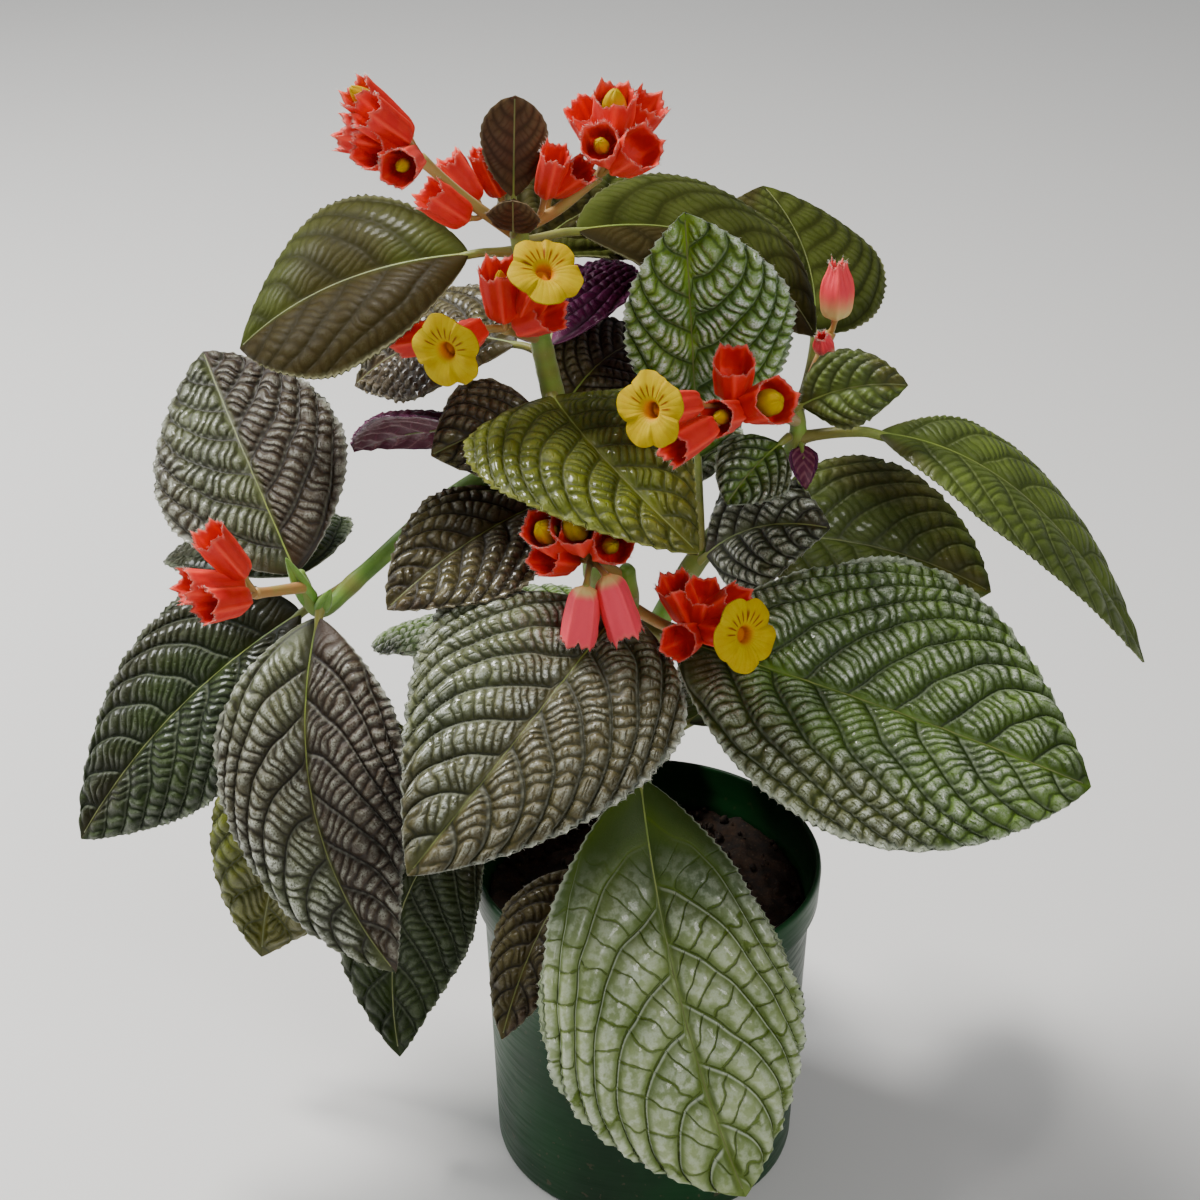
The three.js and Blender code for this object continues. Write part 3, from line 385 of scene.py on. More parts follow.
class Skin:
    """Gathers grids of points into one mesh, with named values at the points and materials by face."""

    def __init__(self):
        self.points = []
        self.faces = []
        self.kinds = []
        self.values = {}
        self.count = 0

    def add(self, points, **values):
        points = np.asarray(points, float)
        index = self.count + np.arange(points[..., 0].size).reshape(points.shape[:-1])
        self.points.append(points.reshape(-1, 3))
        self.count += index.size
        for name, value in values.items():
            self.values.setdefault(name, []).append((index.ravel(), np.asarray(value, float)))
        return index

    def cover(self, index, kind=0, round_way=False, flip=False):
        """Quads over a grid of point numbers, closed round its second direction on request."""
        if round_way:
            index = np.concatenate([index, index[:, :1]], axis=1)
        quads = np.stack([index[:-1, :-1], index[:-1, 1:], index[1:, 1:], index[1:, :-1]], axis=-1)
        quads = quads.reshape(-1, 4)
        self.faces.extend((quads[:, ::-1] if flip else quads).tolist())
        self.kinds.extend([kind] * len(quads))

    def edge(self, ring, coarse_ring):
        """The narrow face between the border of a grid and that of one with every other point of it."""
        ring, coarse_ring = ring.tolist(), coarse_ring.tolist()
        for k, low in enumerate(coarse_ring):
            after = (k + 1) % len(coarse_ring)
            self.faces.append([ring[2 * k], low, coarse_ring[after], ring[2 * after], ring[2 * k + 1]])
            self.kinds.append(0)

    def cap(self, ring, centre, kind=0, flip=False, **values):
        middle = int(self.add([centre], **values)[0])
        ring = ring.tolist()
        for a, b in zip(ring, ring[1:] + ring[:1]):
            self.faces.append([middle, b, a] if flip else [middle, a, b])
            self.kinds.append(kind)

    def close(self, index, start, end, kind=0, flip=False):
        """Covers a grid that runs round and caps its first and last rows."""
        self.cover(index, kind, round_way=True, flip=flip)
        self.cap(index[0], start, kind, flip=not flip)
        self.cap(index[-1], end, kind, flip=flip)

    def tube(self, route, radius, sides, kind=0, shape=None, **values):
        """A closed round limb along a route. The shape scales its radius by row and by angle."""
        _, aside, beyond = carried_frames(route)
        angle = turns(sides)
        reach = np.asarray(radius, float).reshape(-1, 1) * np.ones(sides)
        if shape is not None:
            reach = reach * shape
        ring = aside[:, None] * np.cos(angle)[:, None] + beyond[:, None] * np.sin(angle)[:, None]
        points = route[:, None] + ring * reach[..., None]
        self.close(self.add(points, **values), route[0], route[-1], kind)

    def build(self, name, materials):
        mesh = bpy.data.meshes.new(name)
        mesh.from_pydata(np.vstack(self.points) * MM, [], self.faces)
        mesh.polygons.foreach_set("material_index", self.kinds)
        mesh.polygons.foreach_set("use_smooth", [True] * len(self.faces))
        for key, parts in self.values.items():
            wide = parts[0][1].shape[-1:] == (3,) and parts[0][1].ndim > 1
            store = mesh.attributes.new(key, "FLOAT_VECTOR" if wide else "FLOAT", "POINT")
            data = np.zeros((self.count, 3) if wide else self.count)
            for index, value in parts:
                data[index] = value.reshape(-1, 3) if wide else value.ravel()
            store.data.foreach_set("vector" if wide else "value", data.ravel())
        mesh.update()
        for material in materials:
            mesh.materials.append(material)
        return add_object(name, mesh)


def add_hairs(skin, roots, ways, length, seed, kind, **values):
    """Short tapered hairs that stand on given points and lean at random."""
    draw = np.random.default_rng(seed)
    lean = unit(ways) + draw.normal(0, 0.3, roots.shape)
    along = unit(lean)
    size = length * draw.uniform(0.5, 1.1, (len(roots), 1))
    aside = unit(np.cross(along, [0.3, 0.5, 0.81]))
    beyond = np.cross(along, aside)
    start = roots + draw.normal(0, 0.12, roots.shape) - HAIR_ROOT * along
    corners = [start + HAIR_RADIUS * (aside * np.cos(turn) + beyond * np.sin(turn))
               for turn in (0, 2.094, 4.189)]
    points = np.stack([*corners, start + along * (size + HAIR_ROOT)], axis=1)
    spread = {key: np.broadcast_to(value, points.shape[:2] + np.shape(value)).astype(float)
              for key, value in values.items()}
    index = skin.add(points, **spread)
    for a, b, c, tip in index.tolist():
        skin.faces.extend([[a, c, b], [a, b, tip], [b, c, tip], [c, a, tip]])
        skin.kinds.extend([kind] * 4)


def settle(piece, node):
    """The piece stands in for a node of the frame: the node's own part is hidden and the piece hangs from
    the root body.
    """
    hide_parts(node)
    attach(piece, "root")


class Graph:
    """Short ways to add the nodes of a material or a node group."""

    def __init__(self, tree):
        self.tree = tree

    def node(self, kind, inputs=None, **settings):
        node = self.tree.nodes.new(kind)
        for key, value in settings.items():
            setattr(node, key, value)
        for key, value in (inputs or {}).items():
            self.feed(node.inputs[key], value)
        return node

    def feed(self, socket, value):
        """Links a socket to an output, or sets it to a number, a colour or the colour of a code."""
        if isinstance(value, bpy.types.NodeSocket):
            self.tree.links.new(value, socket)
        else:
            socket.default_value = paint(value) if isinstance(value, str) else value

    def math(self, operation, *values):
        return self.node("ShaderNodeMath", dict(enumerate(values)), operation=operation).outputs[0]

    def product(self, value, *factors):
        for factor in factors:
            value = self.math("MULTIPLY", value, factor)
        return value

    def line(self, value, slope, offset):
        return self.math("MULTIPLY_ADD", value, slope, offset)

    def step(self, value, low, high, to_low=0.0, to_high=1.0):
        node = self.node("ShaderNodeMapRange", interpolation_type="SMOOTHSTEP")
        for socket, number in zip(node.inputs, (value, low, high, to_low, to_high)):
            self.feed(socket, number)
        return node.outputs[0]

    def mix(self, factor, first, second):
        node = self.node("ShaderNodeMix", {0: factor, 6: first, 7: second}, data_type="RGBA")
        return node.outputs[2]

    def layers(self, base, *coats):
        """The base under coats of colour, each with the share that it covers."""
        for share, colour in coats:
            base = self.mix(share, base, colour)
        return base

    def noise(self, vector, scale, detail=3.0, roughness=0.55):
        inputs = {"Vector": vector, "Scale": scale, "Detail": detail, "Roughness": roughness}
        return self.node("ShaderNodeTexNoise", inputs).outputs["Fac"]

    def stored(self, name, output="Fac"):
        return self.node("ShaderNodeAttribute", attribute_name=name).outputs[output]

    def parts(self, vector):
        return self.node("ShaderNodeSeparateXYZ", {0: vector}).outputs

    def stored_parts(self, name):
        return self.parts(self.stored(name, "Vector"))

    def place(self):
        return self.node("ShaderNodeTexCoord").outputs["Object"]

    def shared(self, name, **inputs):
        """The outputs of a shared node group, made when it is first asked for."""
        tree = bpy.data.node_groups.get(name) or group(name, *GROUPS[name])
        node = self.node("ShaderNodeGroup", node_tree=tree)
        for label, value in inputs.items():
            self.feed(node.inputs[label.replace("_", " ")], value)
        return node.outputs


class Material(Graph):
    """A new material, with the nodes that feed its shader."""

    def __init__(self, name, **sockets):
        self.material = bpy.data.materials.new(name)
        self.material.use_nodes = True
        super().__init__(self.material.node_tree)
        self.shader = self.tree.nodes["Principled BSDF"]
        for key, value in sockets.items():
            self.feed(self.shader.inputs[key.replace("_", " ")], value)

    def dress(self, colour, roughness, height, strength, depth_mm):
        """Feeds the shader its colour, its roughness and a bump of the given depth."""
        inputs = {"Strength": strength, "Distance": depth_mm * MM, "Height": height}
        bump = self.node("ShaderNodeBump", inputs).outputs[0]
        for key, value in (("Base Color", colour), ("Roughness", roughness), ("Normal", bump)):
            self.feed(self.shader.inputs[key], value)
        return self.material


def group(name, inputs, outputs, draw):
    """A node group with named values in and out, filled by draw."""
    tree = bpy.data.node_groups.new(name, "ShaderNodeTree")
    for label, default in inputs.items():
        socket = tree.interface.new_socket(label, in_out="INPUT", socket_type="NodeSocketFloat")
        socket.default_value = default
    for label in outputs:
        tree.interface.new_socket(label, in_out="OUTPUT", socket_type="NodeSocketFloat")
    graph = Graph(tree)
    given = graph.node("NodeGroupInput").outputs
    made = draw(graph, given)
    result = graph.node("NodeGroupOutput")
    for label in outputs:
        graph.feed(result.inputs[label], made[label])
    return tree


def draw_leaf_net(graph, given):
    """Masks of the side veins, the grooves round the swollen cells, their crests and the margin.

    The band is the middle of each panel between side veins, outside which painted shade darkens the
    valleys, and the edge a line along its lower side, which carries a painted highlight.
    """
    v, w, rim = graph.stored_parts("net")
    panel_width, ladder, partings = graph.stored_parts("pitch")
    swell, shine = graph.stored_parts("zone")[1:]
    flat = graph.stored("flat", "Vector")

    def from_whole(coordinate, scale):
        offset = graph.math("ABSOLUTE", graph.math("SUBTRACT", graph.math("FRACT", coordinate), 0.5))
        return graph.product(graph.math("SUBTRACT", 0.5, offset), scale)

    def from_parting(low, panel_step, bar_step):
        place = graph.product(graph.math("FLOOR", v), panel_step)
        place = graph.line(graph.math("FLOOR", w), bar_step, place)
        place = graph.line(graph.math("FRACT", place), PARTING_SPREAD, low)
        apart = graph.math("ABSOLUTE", graph.math("SUBTRACT", graph.math("FRACT", v), place))
        return graph.product(apart, panel_width)

    clear = from_whole(v, panel_width)
    rung = from_whole(w, ladder)
    parting = graph.math("MINIMUM", from_parting(PARTINGS[0], *CELL_STEPS),
                         from_parting(PARTINGS[1], *CELL_STEPS[::-1]))
    shallow = graph.line(partings, -1.2, 1.35)
    wrinkle = graph.line(graph.noise(flat, 0.7), 0.7, -0.35)
    groove = graph.math("ADD", graph.math("MINIMUM", rung, graph.math("ADD", parting, shallow)), wrinkle)
    crest = graph.product(graph.step(groove, 0.05, given["Crest width"]),
                          graph.step(clear, 0.1, given["Crest width"]))
    past = graph.product(graph.math("FRACT", v), panel_width)
    edge = graph.product(graph.step(past, 0.15, 0.5), graph.step(past, 0.6, 1.2, 1.0, 0.0))
    return {
        "Vein": graph.step(clear, 0.0, given["Vein width"], 1.0, 0.0),
        "Groove": graph.product(graph.step(groove, 0.0, given["Groove width"], 1.0, 0.0), swell),
        "Crest": graph.product(crest, swell),
        "Band": graph.step(from_whole(v, 1.0), 0.06, 0.36),
        "Edge": graph.product(edge, swell),
        "Shine": shine,
        "Rim": rim,
        "Mottle": graph.noise(flat, 0.06, 4.0),
        "Patch": graph.step(graph.noise(flat, 0.4, 2.0), 0.38, 0.6),
        "Grain": graph.noise(flat, 2.2, 4.0, 0.6),
    }


def draw_down(graph, given):
    """Soft mottling and the fine grain of short hairs, at a size given in hairs per millimetre."""
    place = graph.place()
    return {
        "Mottle": graph.noise(place, graph.product(given["Mottle per mm"], 1 / MM)),
        "Hair": graph.noise(place, graph.product(given["Hairs per mm"], 1 / MM), 2.0, 0.8),
    }


NET_MASKS = ("Vein", "Groove", "Crest", "Band", "Edge", "Shine", "Rim", "Mottle", "Patch", "Grain")
GROUPS = {
    "leaf net": ({"Vein width": 0.6, "Groove width": 0.38, "Crest width": 1.1}, NET_MASKS, draw_leaf_net),
    "soft down": ({"Mottle per mm": 0.12, "Hairs per mm": 3.0}, ("Mottle", "Hair"), draw_down),
}


def chosen(name):
    """A colour from the panel."""
    return tuple(getattr(bpy.context.scene.plant_colours, name))


def paint(code):
    """Linear colour of a six-digit sRGB code."""
    shade = Color([int(code[i:i + 2], 16) / 255 for i in (0, 2, 4)]).from_srgb_to_scene_linear()
    return (*shade, 1.0)


# The share of painted glint on the cells, how strongly the veins' green and painted shade darken the
# grooves, the strength of the painted highlight beside the veins, the bump, the crest width, the specular
# level and how far the painted glints break into speckles.
SURFACE_DEFAULTS = {
    "glint_paint": 0.4, "groove": 0.8, "edge": 0.15, "bump": 1.0, "crest": 1.1, "specular": 0.28,
    "speckle": 1.0,
}

# Each look has codes for the colours of its veins, also laid as painted shade in the grooves and valleys,
# its face, the lighter patches of the face, the painted glints on the cells, also used for the pale margin,
# and the second tone, which is also painted as shade over the dull half, and then what differs from the
# surface defaults.
LEAF_LOOKS = {
    "green": ("162206 40580f 5e7c1e d2dac6 4a401a", {"glint_paint": 0.8}),
    "olive": ("2a330e 465418 586822 8e9668 504a18", {"glint_paint": 0.3, "groove": 0.45, "bump": 0.5}),
    "glinting": ("1e340a 527816 789a20 dae4da 708a14", {"glint_paint": 0.95}),
    "bronze": ("150f05 382f10 524a20 9a9376 402410", {}),
    "silver": ("1c2010 484e28 6c7248 c6ccbe 4a3e1a", {"glint_paint": 0.85}),
    "smoky": ("140f08 34391a 525932 cacebc 341e0c", {"glint_paint": 0.9}),
    "young": ("2e340a 4a540a 646c10 a0a450 524a10", {"glint_paint": 0.2}),
    "pale": ("4a600a 64782a 8e9e5e d2dcc4 243c02",
             {"glint_paint": 0.8, "groove": 0.7, "edge": 0.7, "crest": 0.5, "speckle": 0.3}),
    "shade": ("0d1505 1a2606 28360a 9ca48c 28200c", {"glint_paint": 0.22, "specular": 0.12}),
    "dusky": ("1e1c0c 384012 464e1e 8a8a66 30240e",
              {"glint_paint": 0.2, "groove": 0.3, "edge": 0, "bump": 0.2, "specular": 0.05}),
    "russet": ("2a1c12 4c3824 5e4a30 94866a 4e2e20",
               {"glint_paint": 0.2, "groove": 0.35, "edge": 0, "bump": 0.25, "specular": 0.12}),
    "purple": ("1c0614 4c1238 6a1c50 8a4c74 5a142e", {"glint_paint": 0.15, "edge": 0, "specular": 0.16}),
}


def leaf_material(look):
    """The upper face: veins in a darker green, painted shade in the grooves and valleys, glossy cells with
    painted glints on their crests, a painted highlight beside the veins and a pale margin.
    """
    codes, own = LEAF_LOOKS[look]
    vein_and_shade, face, light, pale_glint_and_margin, second = codes.split()
    surface = {**SURFACE_DEFAULTS, **own}
    graph = Material(f"{look} leaf", Specular_IOR_Level=surface["specular"], Subsurface_Weight=0.04,
                     Coat_Roughness=0.11, Subsurface_Radius=(0.0012, 0.0016, 0.0005), Subsurface_Scale=1.0)
    net = graph.shared("leaf net", Crest_width=surface["crest"])
    second_tone_and_shade = graph.stored_parts("zone")[0]
    band = graph.line(net["Band"], 0.8, 0.2)
    grain = graph.step(net["Grain"], 0.32, 0.56, 1 - surface["speckle"])
    # Painted glints: a pale colour laid on the crests of the cells where they would catch the light.
    painted_glints = graph.product(net["Crest"], grain, graph.line(net["Patch"], 0.7, 0.3),
                            graph.line(net["Shine"], 0.7, 0.3), band, surface["glint_paint"])
    groove = graph.math("MAXIMUM", net["Vein"], graph.product(net["Groove"], 0.9))
    base = graph.layers(
        graph.mix(graph.step(net["Mottle"], 0.35, 0.65), face, light),
        # The second tone: the leaf's own colour in patches, and painted shade over the dull half.
        (graph.product(second_tone_and_shade, 0.9), second),
        # Painted shade darkens the valleys outside the middle band of each panel.
        (graph.line(net["Band"], -0.4, 0.4), vein_and_shade),
        (painted_glints, pale_glint_and_margin),
        # The veins' own darker green, with painted shade in the grooves round the cells.
        (graph.product(groove, surface["groove"]), vein_and_shade),
        # A painted highlight along the lower side of each panel.
        (graph.product(net["Edge"], surface["edge"]), pale_glint_and_margin),
        (graph.product(net["Rim"], 0.45), pale_glint_and_margin),
    )
    graph.feed(graph.shader.inputs["Coat Weight"], graph.product(net["Crest"], net["Shine"], band))
    roughness = graph.step(net["Grain"], 0.2, 0.8, 0.4, 0.58)
    return graph.dress(base, roughness, graph.line(net["Grain"], 0.18, net["Crest"]), surface["bump"], 0.5)


def underside_material():
    """The lower face: purple-red between paler raised veins."""
    graph = Material("leaf underside", Subsurface_Weight=0.1, Specular_IOR_Level=0.25,
                     Subsurface_Radius=(0.0015, 0.0008, 0.0006))
    net = graph.shared("leaf net")
    base = graph.layers(
        graph.mix(graph.step(net["Mottle"], 0.3, 0.7), "561636", "5e2c3c"),
        (graph.product(net["Groove"], 0.4), "7e3254"),
        (graph.product(net["Vein"], 0.6), "8d5a62"),
        (graph.product(net["Rim"], 0.4), "9b8d80"),
    )
    roughness = graph.step(net["Grain"], 0.2, 0.8, 0.42, 0.6)
    return graph.dress(base, roughness, graph.math("ADD", net["Groove"], net["Grain"]), 0.35, 0.2)


def stalk_material(name, flesh, shade, blush):
    """Juicy green skin, mottled and reddened towards its foot, under short pale hairs."""
    graph = Material(name, Subsurface_Weight=0.2, Sheen_Weight=0.25, Sheen_Roughness=0.4,
                     Subsurface_Radius=(0.002, 0.002, 0.0006))
    down = graph.shared("soft down")
    base = graph.layers(
        graph.mix(graph.step(down["Mottle"], 0.35, 0.65), flesh, shade),
        (graph.product(graph.stored("redness"), 0.85), blush),
        (graph.product(graph.stored_parts("zone")[2], 0.75), "5c5a30"),
        (graph.step(down["Hair"], 0.6, 0.8, 0.0, 0.25), "d9dcc0"),
    )
    return graph.dress(base, graph.step(down["Hair"], 0.2, 0.8, 0.38, 0.6), down["Hair"], 0.35, 0.15)


def calyx_material():
    """Orange-red felt with painted shade between the ridges and a painted highlight on them, paler at the
    foot and along the lobes' edges.
    """
    graph = Material("calyx felt", Subsurface_Weight=0.12, Sheen_Weight=0.22, Sheen_Roughness=0.4,
                     Subsurface_Radius=(0.003, 0.0008, 0.0005), Sheen_Tint="ff9c86")
    down = graph.shared("soft down", Mottle_per_mm=0.25, Hairs_per_mm=4.0)
    rise, ridge, blush = graph.stored_parts("calyx")
    pale = graph.stored("pale")
    base = graph.layers(
        graph.mix(graph.step(down["Mottle"], 0.35, 0.65), chosen("calyx"), "ee2a0e"),
        # Painted shade deepens the red between the ridges and a painted highlight lightens the ridges.
        (graph.product(graph.step(ridge, 0.0, 0.5, 1.0, 0.0), 0.35), "b40a08"),
        (graph.product(graph.step(ridge, 0.5, 1.0), 0.45), "ff5a3a"),
        (graph.product(blush, 0.8), "fc4a60"),
        (graph.product(graph.step(rise, graph.product(pale, 0.4), pale, 1.0, 0.0), 0.85), "d2cc7c"),
        (graph.step(rise, 0.9, 1.0, 0.0, 0.25), "ff9a80"),
    )
    return graph.dress(base, graph.step(down["Hair"], 0.2, 0.8, 0.5, 0.75), down["Hair"], 0.5, 0.2)


def corolla_material():
    """Bright yellow petals with faint ribs, brown-red streaks on the upper lobes and a warm throat."""
    graph = Material("yellow petal", Subsurface_Weight=0.1, Specular_IOR_Level=0.12,
                     Subsurface_Radius=(0.003, 0.002, 0.0004))
    down = graph.shared("soft down", Mottle_per_mm=0.3, Hairs_per_mm=2.5)
    reach, turn, upper = graph.stored_parts("petal")

    def ripple(waves):
        return graph.math("ABSOLUTE", graph.math("SINE", graph.product(turn, np.pi * waves)))

    rib = ripple(6)
    streak = graph.step(ripple(4), 0.25, 0.6, 1.0, 0.0)
    span = graph.product(graph.step(reach, 0.3, 0.4), graph.step(reach, 0.55, 0.72, 1.0, 0.0))
    base = graph.layers(
        graph.mix(graph.step(down["Mottle"], 0.3, 0.7), chosen("petals"), "b89800"),
        (graph.step(rib, 0.0, 0.35, 0.16, 0.0), "a87400"),
        (graph.product(streak, span, upper, 0.85), "7a2806"),
        (graph.step(reach, 0.2, 0.34, 0.85, 0.0), "d06a08"),
    )
    roughness = graph.step(down["Hair"], 0.2, 0.8, 0.5, 0.7)
    return graph.dress(base, roughness, graph.math("ADD", down["Hair"], rib), 0.25, 0.2)


def hair_material():
    """Colourless hairs that catch the light."""
    graph = Material("pale hair", Roughness=0.35, Subsurface_Weight=0.3)
    tone = graph.step(graph.noise(graph.place(), 90.0, 2.0), 0.35, 0.65)
    graph.feed(graph.shader.inputs["Base Color"], graph.mix(tone, "c9bfae", "e6dccb"))
    return graph.material


def pot_material():
    """Dark green moulded plastic with fine scuffs, dust in the lower part and splashes of soil."""
    graph = Material("pot plastic", Specular_IOR_Level=0.22)
    place = graph.place()
    tone = graph.noise(place, 22.0, 4.0)
    stretched = graph.node("ShaderNodeMapping", {"Vector": place, "Scale": (60, 60, 900)}).outputs[0]
    scuff = graph.noise(stretched, 1.0)
    speck = graph.step(graph.noise(place, 420.0, 2.0, 0.4), 0.66, 0.72)
    low = graph.step(graph.parts(place)[2], 0.0, 0.05, 1.0, 0.0)
    base = graph.layers(
        graph.mix(graph.step(tone, 0.35, 0.65), "093012", chosen("pot")),
        (graph.step(scuff, 0.6, 0.8, 0.0, 0.16), "16381d"),
        (graph.product(speck, graph.math("ADD", graph.product(low, 0.4), 0.18)), "5c4c3a"),
    )
    roughness = graph.step(scuff, 0.3, 0.8, 0.34, 0.55)
    return graph.dress(base, roughness, graph.math("ADD", scuff, tone), 0.15, 0.2)


def soil_material():
    """Damp potting mix, near black, with browner crumbs and a few pale grains."""
    graph = Material("potting mix", Specular_IOR_Level=0.3)
    place = graph.place()
    lump = graph.noise(place, 260.0, 6.0, 0.7)
    grain = graph.node("ShaderNodeTexVoronoi", {"Vector": place, "Scale": 650.0}).outputs["Distance"]
    base = graph.layers(
        graph.mix(graph.step(lump, 0.35, 0.7), "17110c", "3c2c1f"),
        (graph.step(grain, 0.1, 0.3, 0.25, 0.0), "6d5a45"),
    )
    return graph.dress(base, graph.step(lump, 0.3, 0.7, 0.7, 0.95), lump, 0.9, 0.8)


FINISHES = {
    **{f"{look} leaf": partial(leaf_material, look) for look in LEAF_LOOKS},
    "leaf underside": underside_material,
    "leaf stalk": partial(stalk_material, "leaf stalk", "8fa03e", "6f8a32", "8a4a3a"),
    "stem skin": partial(stalk_material, "stem skin", "5f8a2a", "7ba23a", "8a5a32"),
    "flower stalk": partial(stalk_material, "flower stalk", "a98a45", "8a9a48", "c0603a"),
    "calyx felt": calyx_material,
    "yellow petal": corolla_material,
    "pale hair": hair_material,
    "pot plastic": pot_material,
    "potting mix": soil_material,
}


def finish(name):
    return bpy.data.materials.get(name) or FINISHES[name]()


class LeafForm:
    """Where the points of one leaf lie: along its midrib, across its blade and above its surface."""

    def __init__(self, row, number):
        self.__dict__.update(row)
        self.seed = SEED + number
        sizes = bpy.context.scene.plant_sizes
        self.relief *= sizes.quilting
        self.cells *= sizes.quilting
        self.tooth = sizes.tooth / MM
        self.start, self.tip = np.array(self.start, float), np.array(self.tip, float)
        self.middle = (self.start + self.tip) / 2 + 2 * np.array(self.arch, float)
        self.up = facing(*self.face)
        self.length = np.linalg.norm(np.diff(self.frames(np.linspace(0, 1, 40))[0], axis=0), axis=1).sum()
        self.blade = (1 - self.stalk) * self.length
        self.panel_width = 0.8 * self.blade / self.veins

    def frames(self, share):
        """Centre of the midrib at shares of its length, with the directions across it and up."""
        s = np.asarray(share, float)[..., None]
        centre = (1 - s) ** 2 * self.start + 2 * s * (1 - s) * self.middle + s * s * self.tip
        along = unit((1 - s) * (self.middle - self.start) + s * (self.tip - self.middle))
        up = unit(self.up - (along @ self.up)[..., None] * along)
        return centre, np.cross(up, along), up

    def reach(self, x):
        """The greatest width of the half that x is in."""
        return self.width / 2 * (1 + self.lean * np.sign(x))

    def narrowing(self, t):
        return np.cos(np.pi / 2 * np.clip((t - self.widest) / (1 - self.widest), 0, 1)) ** self.blunt

    def half_width(self, t, x):
        rising = np.sin(np.pi / 2 * np.clip(t / self.widest, 0, 1)) ** BASE_FULLNESS
        return np.maximum(self.reach(x) * np.where(t < self.widest, rising, self.narrowing(t)), 0.12)

    def net(self, t, x):
        """The place in the net of veins: whole numbers on the side veins and on the cross veins."""
        side = np.where(x < 0, 0.0, 1.0)
        off = np.abs(x) * self.half_width(t, x)
        spread = np.maximum(self.reach(x) * self.narrowing(t), 1.5)
        away = np.minimum(off / spread, 1)
        climb = spread * (VEIN_LEAVE * away + self.bend * away ** 3)
        wobble = 0.09 * smooth_noise(t * self.blade / 9, off / 6 + 40 * side, self.seed)
        v = (t - climb / self.blade) * self.veins + 0.35 * side + wobble
        panel = np.floor(v)
        bow = np.arctan(away * np.sqrt(3 * self.bend / VEIN_LEAVE)) / np.sqrt(3 * VEIN_LEAVE * self.bend)
        loose = 1.4 / self.ladder * smooth_noise(off / 4 + 9 * panel, t * self.blade / 4, self.seed + 9)
        start = cell_noise(panel + 31 * side, self.seed + 3)
        w = (t * self.blade + spread * bow) / (1.35 * self.ladder) + start + loose
        return v, w

    def swollen(self, v, w):
        """Height of the swollen cells, from 0 in the grooves to 1."""
        panel, bar = np.floor(v), np.floor(w)
        across, along = v - panel, w - bar
        clear = self.panel_width * (0.5 - np.abs(across - 0.5))
        parted = [
            np.abs(across - low - PARTING_SPREAD * np.mod(panel * a + bar * b, 1))
            for low, a, b in zip(PARTINGS, CELL_STEPS, CELL_STEPS[::-1])
        ]
        parting = self.panel_width * np.minimum(*parted)
        rung = self.ladder * (0.5 - np.abs(along - 0.5))
        parted = 1 - 0.6 * self.partings * np.exp(-(parting / 0.6) ** 2)
        return parted * (1 - np.exp(-(clear / 0.9) ** 2)) * (1 - np.exp(-(rung / 0.8) ** 2))

    def quilting(self, t, x, v, w):
        """Heights of the swollen panels between the side veins and of the cells on them."""
        hump = np.abs(np.sin(np.pi * v)) ** 0.8
        share = self.swell(t, x) * (1 - 0.6 * ease(np.abs(x), 0.85, 1))
        return self.relief * (hump - 0.3) * share, self.cells * self.swollen(v, w) * share

    def ruffle(self, t, x):
        """The slow waves of the blade, which grow towards its margin."""
        wave = smooth_noise(t * 5 + 3, np.sign(x) * 4, self.seed + 21)
        return 1.3 * wave * np.abs(x) ** 2 * np.sin(np.pi * np.clip(t, 0, 1))

    def teeth(self, t, x):
        """How far the margin's teeth stand out, in mm."""
        phase = t * self.blade / TOOTH_PITCH + 0.5 * (x > 0)
        share = phase - np.floor(phase)
        saw = np.where(share < 0.7, share / 0.7, (1 - share) / 0.3)
        size = min(self.width / 40, 1) * (0.5 + 0.8 * cell_noise(np.floor(phase), self.seed + 2))
        fade = ease(t, 0.01, 0.12) * ease(1 - t, 0, 0.05)
        return self.tooth * size * (saw - 0.35) * fade * ease(np.abs(x), 0.9, 1)

    # The dull half, whose second tone is partly painted shade and whose painted glints are weaker.
    def dulled_and_shaded(self, x):
        return ease(self.dull * x, -0.04, 0.1) if self.dull else 0 * x

    def second_tone_and_shade(self, t, x):
        """How far the second tone of the finish has spread: over the smooth foot, or in patches and over
        the dull half, where it is painted shade as well as tone.
        """
        if self.smooth > 0.2:
            past = t + 0.12 * smooth_noise(t * 4, x * 2, self.seed)
            return 1 - ease(past, 0.6 * self.smooth, 1.5 * self.smooth)
        patches = ease(smooth_noise(t * 2.2, x * 1.1, self.seed + 30), 0.0, 0.7)
        return np.maximum(0.8 * patches, self.dulled_and_shaded(x))

    def shine(self, t, x):
        """How glossy the cells are and how strong the painted glints on them."""
        uneven = 0.75 + 0.35 * smooth_noise(t * 5, x * 3, self.seed + 50)
        return self.gloss * uneven * (1 - 0.75 * self.dulled_and_shaded(x)) * (1 - 0.7 * ease(t, 0.78, 0.95))

    def swell(self, t, x):
        """How far the cells swell: not over the smooth foot, beside the midrib or at the tip."""
        off = np.abs(x) * self.half_width(t, x)
        return ease(t, 0.4 * self.smooth, self.smooth + 0.1) * ease(off, 0.3, 2.2) * ease(1 - t, 0, 0.06)

    def scallop(self, t, x, v):
        """How far the margin bulges at the end of each panel, in mm."""
        fade = ease(t, 0.08, 0.25) * ease(1 - t, 0.02, 0.15)
        return 0.45 * self.relief * (np.abs(np.sin(np.pi * v)) - 0.6) * fade * ease(np.abs(x), 0.75, 1)

    def point(self, t, x, v, lift):
        centre, across, up = self.frames(self.stalk + (1 - self.stalk) * t)
        half = self.half_width(t, x)
        fold = np.radians(self.fold)
        out = half * x * np.cos(0.8 * fold) + np.sign(x) * (self.teeth(t, x) + self.scallop(t, x, v))
        rise = half * (np.abs(x) * np.sin(fold) - self.cup * x * x) + self.ruffle(t, x) + lift
        return centre + across * out[..., None] + up * rise[..., None]


